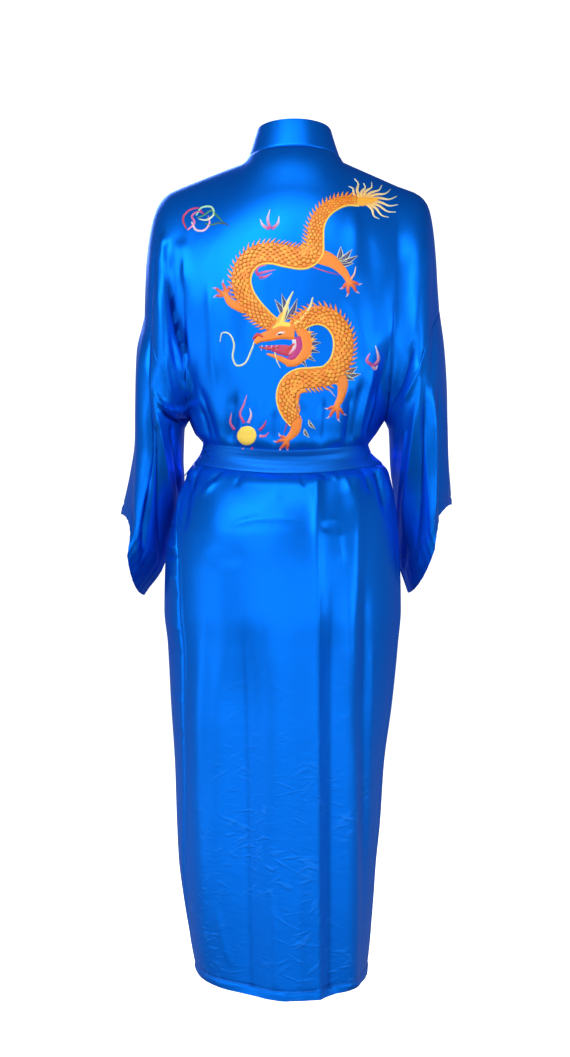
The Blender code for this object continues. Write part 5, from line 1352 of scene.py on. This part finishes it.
# A folded strip all round the waist, tied in front
sash = {
    "thickness": 0.0012,
    "clearance": 0.0008,
    "edges": (0.12, 0.07, 0.0006),  # shares where it lies smooth and where it sinks, how far
    "wrinkleEnds": 0.3,
    "knotSquareness": 0.62,
    "knotNarrows": (0.0, 0.30, 0.24),
    "knotSlant": (0.9, 0.0, 0.4),
    "knotRipples": ((0.05, 2.0, 0.0), (0.022, 7.3, 1.7)),  # height, turns, twist
    "knotTilt": 0.14,
    "endTopWidth": 0.018,
    "endSpread": 0.22,
    "endCup": (0.003, 0.6),
    # height, turn across and along, strength at the top, and how that changes below
    "endRipples": ((0.0016, 13.0, 2.0, 1.0, -0.75), (0.0012, 4.0, 5.0, 0.0, 1.0)),
    "rows": 22,
    "columns": 300,
    "knotPlace": (-0.012, -0.1228, -0.4335),
    "knotSize": (0.048, 0.030, 0.048),
    "endColumns": 22,
    "endRows": 120,
    # node, x at the top and bottom, top z, length, width, sway, how far it stands off
    "ends": {
        "sashEndLeft": ("belt_end_left", -0.0015, 0.026, -0.456, 0.305, 0.033, 0.005, 0.0090),
        "sashEndRight": ("belt_end_right", -0.0225, -0.046, -0.456, 0.270, 0.033, -0.004, 0.0090),
    },
    # wrinkles along it: turn from and to, place across it from and to, width, height
    "wrinkles": [
        (-62, 20, 0.30, 0.22, 0.06, -0.0005), (-40, 58, 0.62, 0.50, 0.05, 0.0006),
        (10, 92, 0.20, 0.34, 0.05, 0.0005), (-88, -30, 0.74, 0.60, 0.05, -0.0005),
        (-20, 36, 0.84, 0.78, 0.04, -0.0004), (56, 80, 0.70, 0.30, 0.07, -0.0012),
        (62, 88, 0.20, 0.62, 0.06, 0.0014), (68, 96, 0.75, 0.30, 0.06, -0.0013),
        (74, 104, 0.35, 0.80, 0.06, 0.0013), (60, 76, 0.48, 0.60, 0.05, 0.0010),
        (80, 110, 0.15, 0.45, 0.06, -0.0010), (-84, -58, 0.36, 0.50, 0.06, 0.0008),
        (-98, -70, 0.62, 0.34, 0.06, -0.0008), (100, 172, 0.25, 0.50, 0.06, -0.0007),
        (120, 178, 0.75, 0.55, 0.06, 0.0008), (-178, -110, 0.60, 0.35, 0.07, -0.0008),
        (-176, -130, 0.40, 0.70, 0.06, 0.0006), (150, 178, 0.20, 0.45, 0.06, 0.0008),
    ],
}


def sashPoints():
    turns = np.linspace(-180.0, 180.0, sash["columns"] + 1)
    share = np.linspace(0.0, 1.0, sash["rows"] + 1)
    levels = robe["sashTopZ"] + (robe["sashBottomZ"] - robe["sashTopZ"]) * share
    grid = np.array([bodyPoint(turns, level) for level in levels])
    grid[:, -1] = grid[:, 0]
    out = unit(grid * [1.0, 1.0, 0.0])
    rise = np.zeros(grid.shape[:2])
    for turn0, turn1, place0, place1, width, height in sash["wrinkles"]:
        along = (turns - turn0) / (turn1 - turn0)
        middle = place0 + (place1 - place0) * np.clip(along, 0.0, 1.0)
        fade = offEdges(along, sash["wrinkleEnds"])
        rise += height * fade * np.exp(-((share[:, None] - middle) / width)**2)
    smoothFrom, sinkFrom, sink = sash["edges"]
    rise = rise * offEdges(share, smoothFrom)[:, None] - sink * (1.0 - offEdges(share, sinkFrom))[:, None]
    grid = grid + out * (sash["clearance"] + sash["thickness"] + rise)[..., None]
    grid[:, -1] = grid[:, 0]
    return grid


def frontDepth(x, level):  # how far forward the front of the robe reaches at a place
    points = bodyPoint(np.linspace(110.0, 250.0, 141), level)
    return np.interp(x, points[::-1, 0], points[::-1, 1])


def sashEnd(topX, bottomX, topZ, length, width, sway, standOff):
    across = np.linspace(-0.5, 0.5, sash["endColumns"] + 1)
    cup, flatter = sash["endCup"]
    rows = []
    for share in np.linspace(0.0, 1.0, sash["endRows"] + 1):
        level = topZ - length * share
        spread = smoothStep(0.0, sash["endSpread"], share)
        wide = sash["endTopWidth"] + (width - sash["endTopWidth"]) * spread
        centre = topX + (bottomX - topX) * smoothStep(0.0, 1.0, share) + sway * math.sin(2 * math.pi * share)
        x = centre + wide * across
        y = frontDepth(x, level) - standOff - cup * np.cos(np.pi * across) * (1.0 - flatter * spread)
        for height, byAcross, byShare, atTop, grows in sash["endRipples"]:
            y = y - height * np.sin(across * byAcross + byShare * share) * (atTop + grows * spread)
        rows.append(np.stack([x, y, level + 0 * x], axis=1))
    return np.array(rows)


def ball(columns, rows, power=1.0):  # places on a unit ball, made squarer by a power under 1
    u, v = np.meshgrid(np.linspace(0.0, 2 * math.pi, columns), np.linspace(-math.pi / 2, math.pi / 2, rows))
    sines = np.array([np.cos(u), np.sin(u), np.cos(v), np.sin(v)])
    cosU, sinU, cosV, sinV = np.sign(sines) * np.abs(sines)**power
    return np.stack([cosV * cosU, cosV * sinU, sinV], axis=-1)


def knotPoints():  # a wrapped, gathered knot: rounded block with slanted soft ripples
    half = np.array(sash["knotSize"]) / 2
    place = ball(97, 61, sash["knotSquareness"])
    aside = np.abs(place[..., 0])
    narrow = 1.0 - aside[..., None] * sash["knotNarrows"]
    slant = place @ sash["knotSlant"]
    ripple = sum(height * np.cos(turns * math.pi * slant + twist * place[..., 2])
                 for height, turns, twist in sash["knotRipples"])
    point = place * half * narrow * (1.0 + ripple[..., None])
    point[..., 2] += sash["knotTilt"] * half[2] * place[..., 0]
    point[:, -1] = point[:, 0]
    point[[0, -1]] = point[[0, -1]].mean(axis=1, keepdims=True)
    return point + np.array(sash["knotPlace"])


belt = Skin([sashPoints()])
dress(shell("sash", belt, belt.normals(), [0], sash["thickness"], sashSatin, "sash_satin"), "belt")
knot = Skin([knotPoints()])
knotFaces = inTriangles(knot.quads[0][:, ::-1])
piece = addMesh("sashKnot", knot.points, knotFaces, sashSatin, "sash_satin", knot.points[:, [0, 2]])
dress(piece, "belt_knot")
for name, (node, *values) in sash["ends"].items():
    end = Skin([sashEnd(*values)])
    piece = shell(name, end, end.normals(), [0], sash["thickness"], sashSatin, "sash_satin")
    dress(piece, node)
print("sash dressed")

studio = {
    "floorZ": -1.330,
    "floorHalf": 9.0,
    "cameraPlace": (0.0075, 2.4, -0.54),
    "frameHeight": 1.575,
    "sensor": 24.0,
    "backdropRadius": 8.0,
    "worldLow": (0.40, 0.415, 0.44, 1),
    "worldHigh": (0.095, 0.105, 0.13, 1),
    "worldUnder": (0.10, 0.11, 0.14, 1),
    "lowToHigh": (0.10, 0.60),  # heights in the world where one colour turns into the next
    "underToLow": (-0.66, -0.30),
    # place, target, size, power
    "lights": {
        "windowLeft": ((1.25, 2.2, 0.78), (0, 0.1, -0.45), (2.1, 1.2), 36.0),
        "nearCamera": ((0.1, 2.9, -0.95), (0, 0, -0.85), (3.2, 0.9), 21.0),
        "lowLeft": ((2.0, 1.3, -0.95), (0, 0, -0.9), (1.3, 1.1), 8.0),
        "farRight": ((-1.7, 1.5, -0.55), (0, 0, -0.6), (1.0, 0.9), 10.0),
        "overWaist": ((0.0, 0.85, 0.40), (-0.01, 0.12, -0.52), (0.9, 0.3), 4.2),
        "frontAbove": ((0.6, -2.3, 0.9), (0, 0, -0.5), (1.6, 1.3), 60.0),
    },
}


def whiteSurface(name, low, high):
    s = Shade(name)
    s.set(baseColor=s.mix(s.noise(s.place(), 3.0), low, high), roughness=0.9,
          emissionColor=(1.0, 1.0, 1.0, 1), emissionStrength=1.0)
    return s.material


def addFloor():
    r = studio["floorHalf"]
    z = studio["floorZ"]
    material = whiteSurface("pale floor", (0.86, 0.86, 0.86, 1), (0.90, 0.90, 0.90, 1))
    floor = addMesh("floor", [(-r, -r, z), (r, -r, z), (r, r, z), (-r, r, z)], [[0, 1, 2], [0, 2, 3]],
                    material, "", smooth=False)
    floor.visible_diffuse = False
    floor.visible_glossy = False


def addBackdrop():  # a white dome that only the camera sees, so the robe keeps its darker sides
    dome = Skin([studio["backdropRadius"] * ball(49, 25)])
    material = whiteSurface("white backdrop", (0.9, 0.9, 0.9, 1), (0.9, 0.9, 0.9, 1))
    backdrop = addMesh("backdrop", dome.points, inTriangles(dome.quads[0]), material, "")
    backdrop.visible_diffuse = False
    backdrop.visible_glossy = False
    backdrop.visible_transmission = False
    backdrop.visible_shadow = False


def addLight(name, place, target, size, power):
    data = bpy.data.lights.new(name, "AREA")
    data.shape = "RECTANGLE"
    data.size, data.size_y = size
    data.energy = power
    light = addObject(name, data)
    light.location = place
    light.rotation_euler = (Vector(target) - Vector(place)).to_track_quat("-Z", "Y").to_euler()


def addWorld():
    world = bpy.data.worlds.new("studio")
    world.use_nodes = True
    bpy.context.scene.world = world
    tree = world.node_tree
    coordinates = tree.nodes.new("ShaderNodeTexCoord")
    apart = tree.nodes.new("ShaderNodeSeparateXYZ")
    tree.links.new(coordinates.outputs["Generated"], apart.inputs[0])
    whole = None
    for stage, colour in (("lowToHigh", "worldLow"), ("underToLow", "worldUnder")):
        height = tree.nodes.new("ShaderNodeMapRange")
        height.interpolation_type = "SMOOTHSTEP"
        height.inputs["From Min"].default_value, height.inputs["From Max"].default_value = studio[stage]
        tree.links.new(apart.outputs[2], height.inputs["Value"])
        mix = tree.nodes.new("ShaderNodeMix")
        mix.data_type = "RGBA"
        mix.inputs[6].default_value = studio[colour]
        mix.inputs[7].default_value = studio["worldHigh"]
        if whole:
            tree.links.new(whole.outputs[2], mix.inputs[7])
        tree.links.new(height.outputs[0], mix.inputs[0])
        whole = mix
    tree.links.new(whole.outputs[2], tree.nodes["Background"].inputs["Color"])


def addCamera():
    data = bpy.data.cameras.new("camera")
    data.sensor_fit = "VERTICAL"
    data.sensor_height = studio["sensor"]
    data.lens = studio["sensor"] * studio["cameraPlace"][1] / studio["frameHeight"]
    camera = addObject("camera", data)
    camera.location = studio["cameraPlace"]
    camera.rotation_euler = (math.radians(90), 0, math.radians(180))
    bpy.context.scene.camera = camera


addFloor()
addBackdrop()
addWorld()
for name, values in studio["lights"].items():
    addLight(name, *values)
addCamera()
bpy.context.scene.view_settings.view_transform = "Standard"
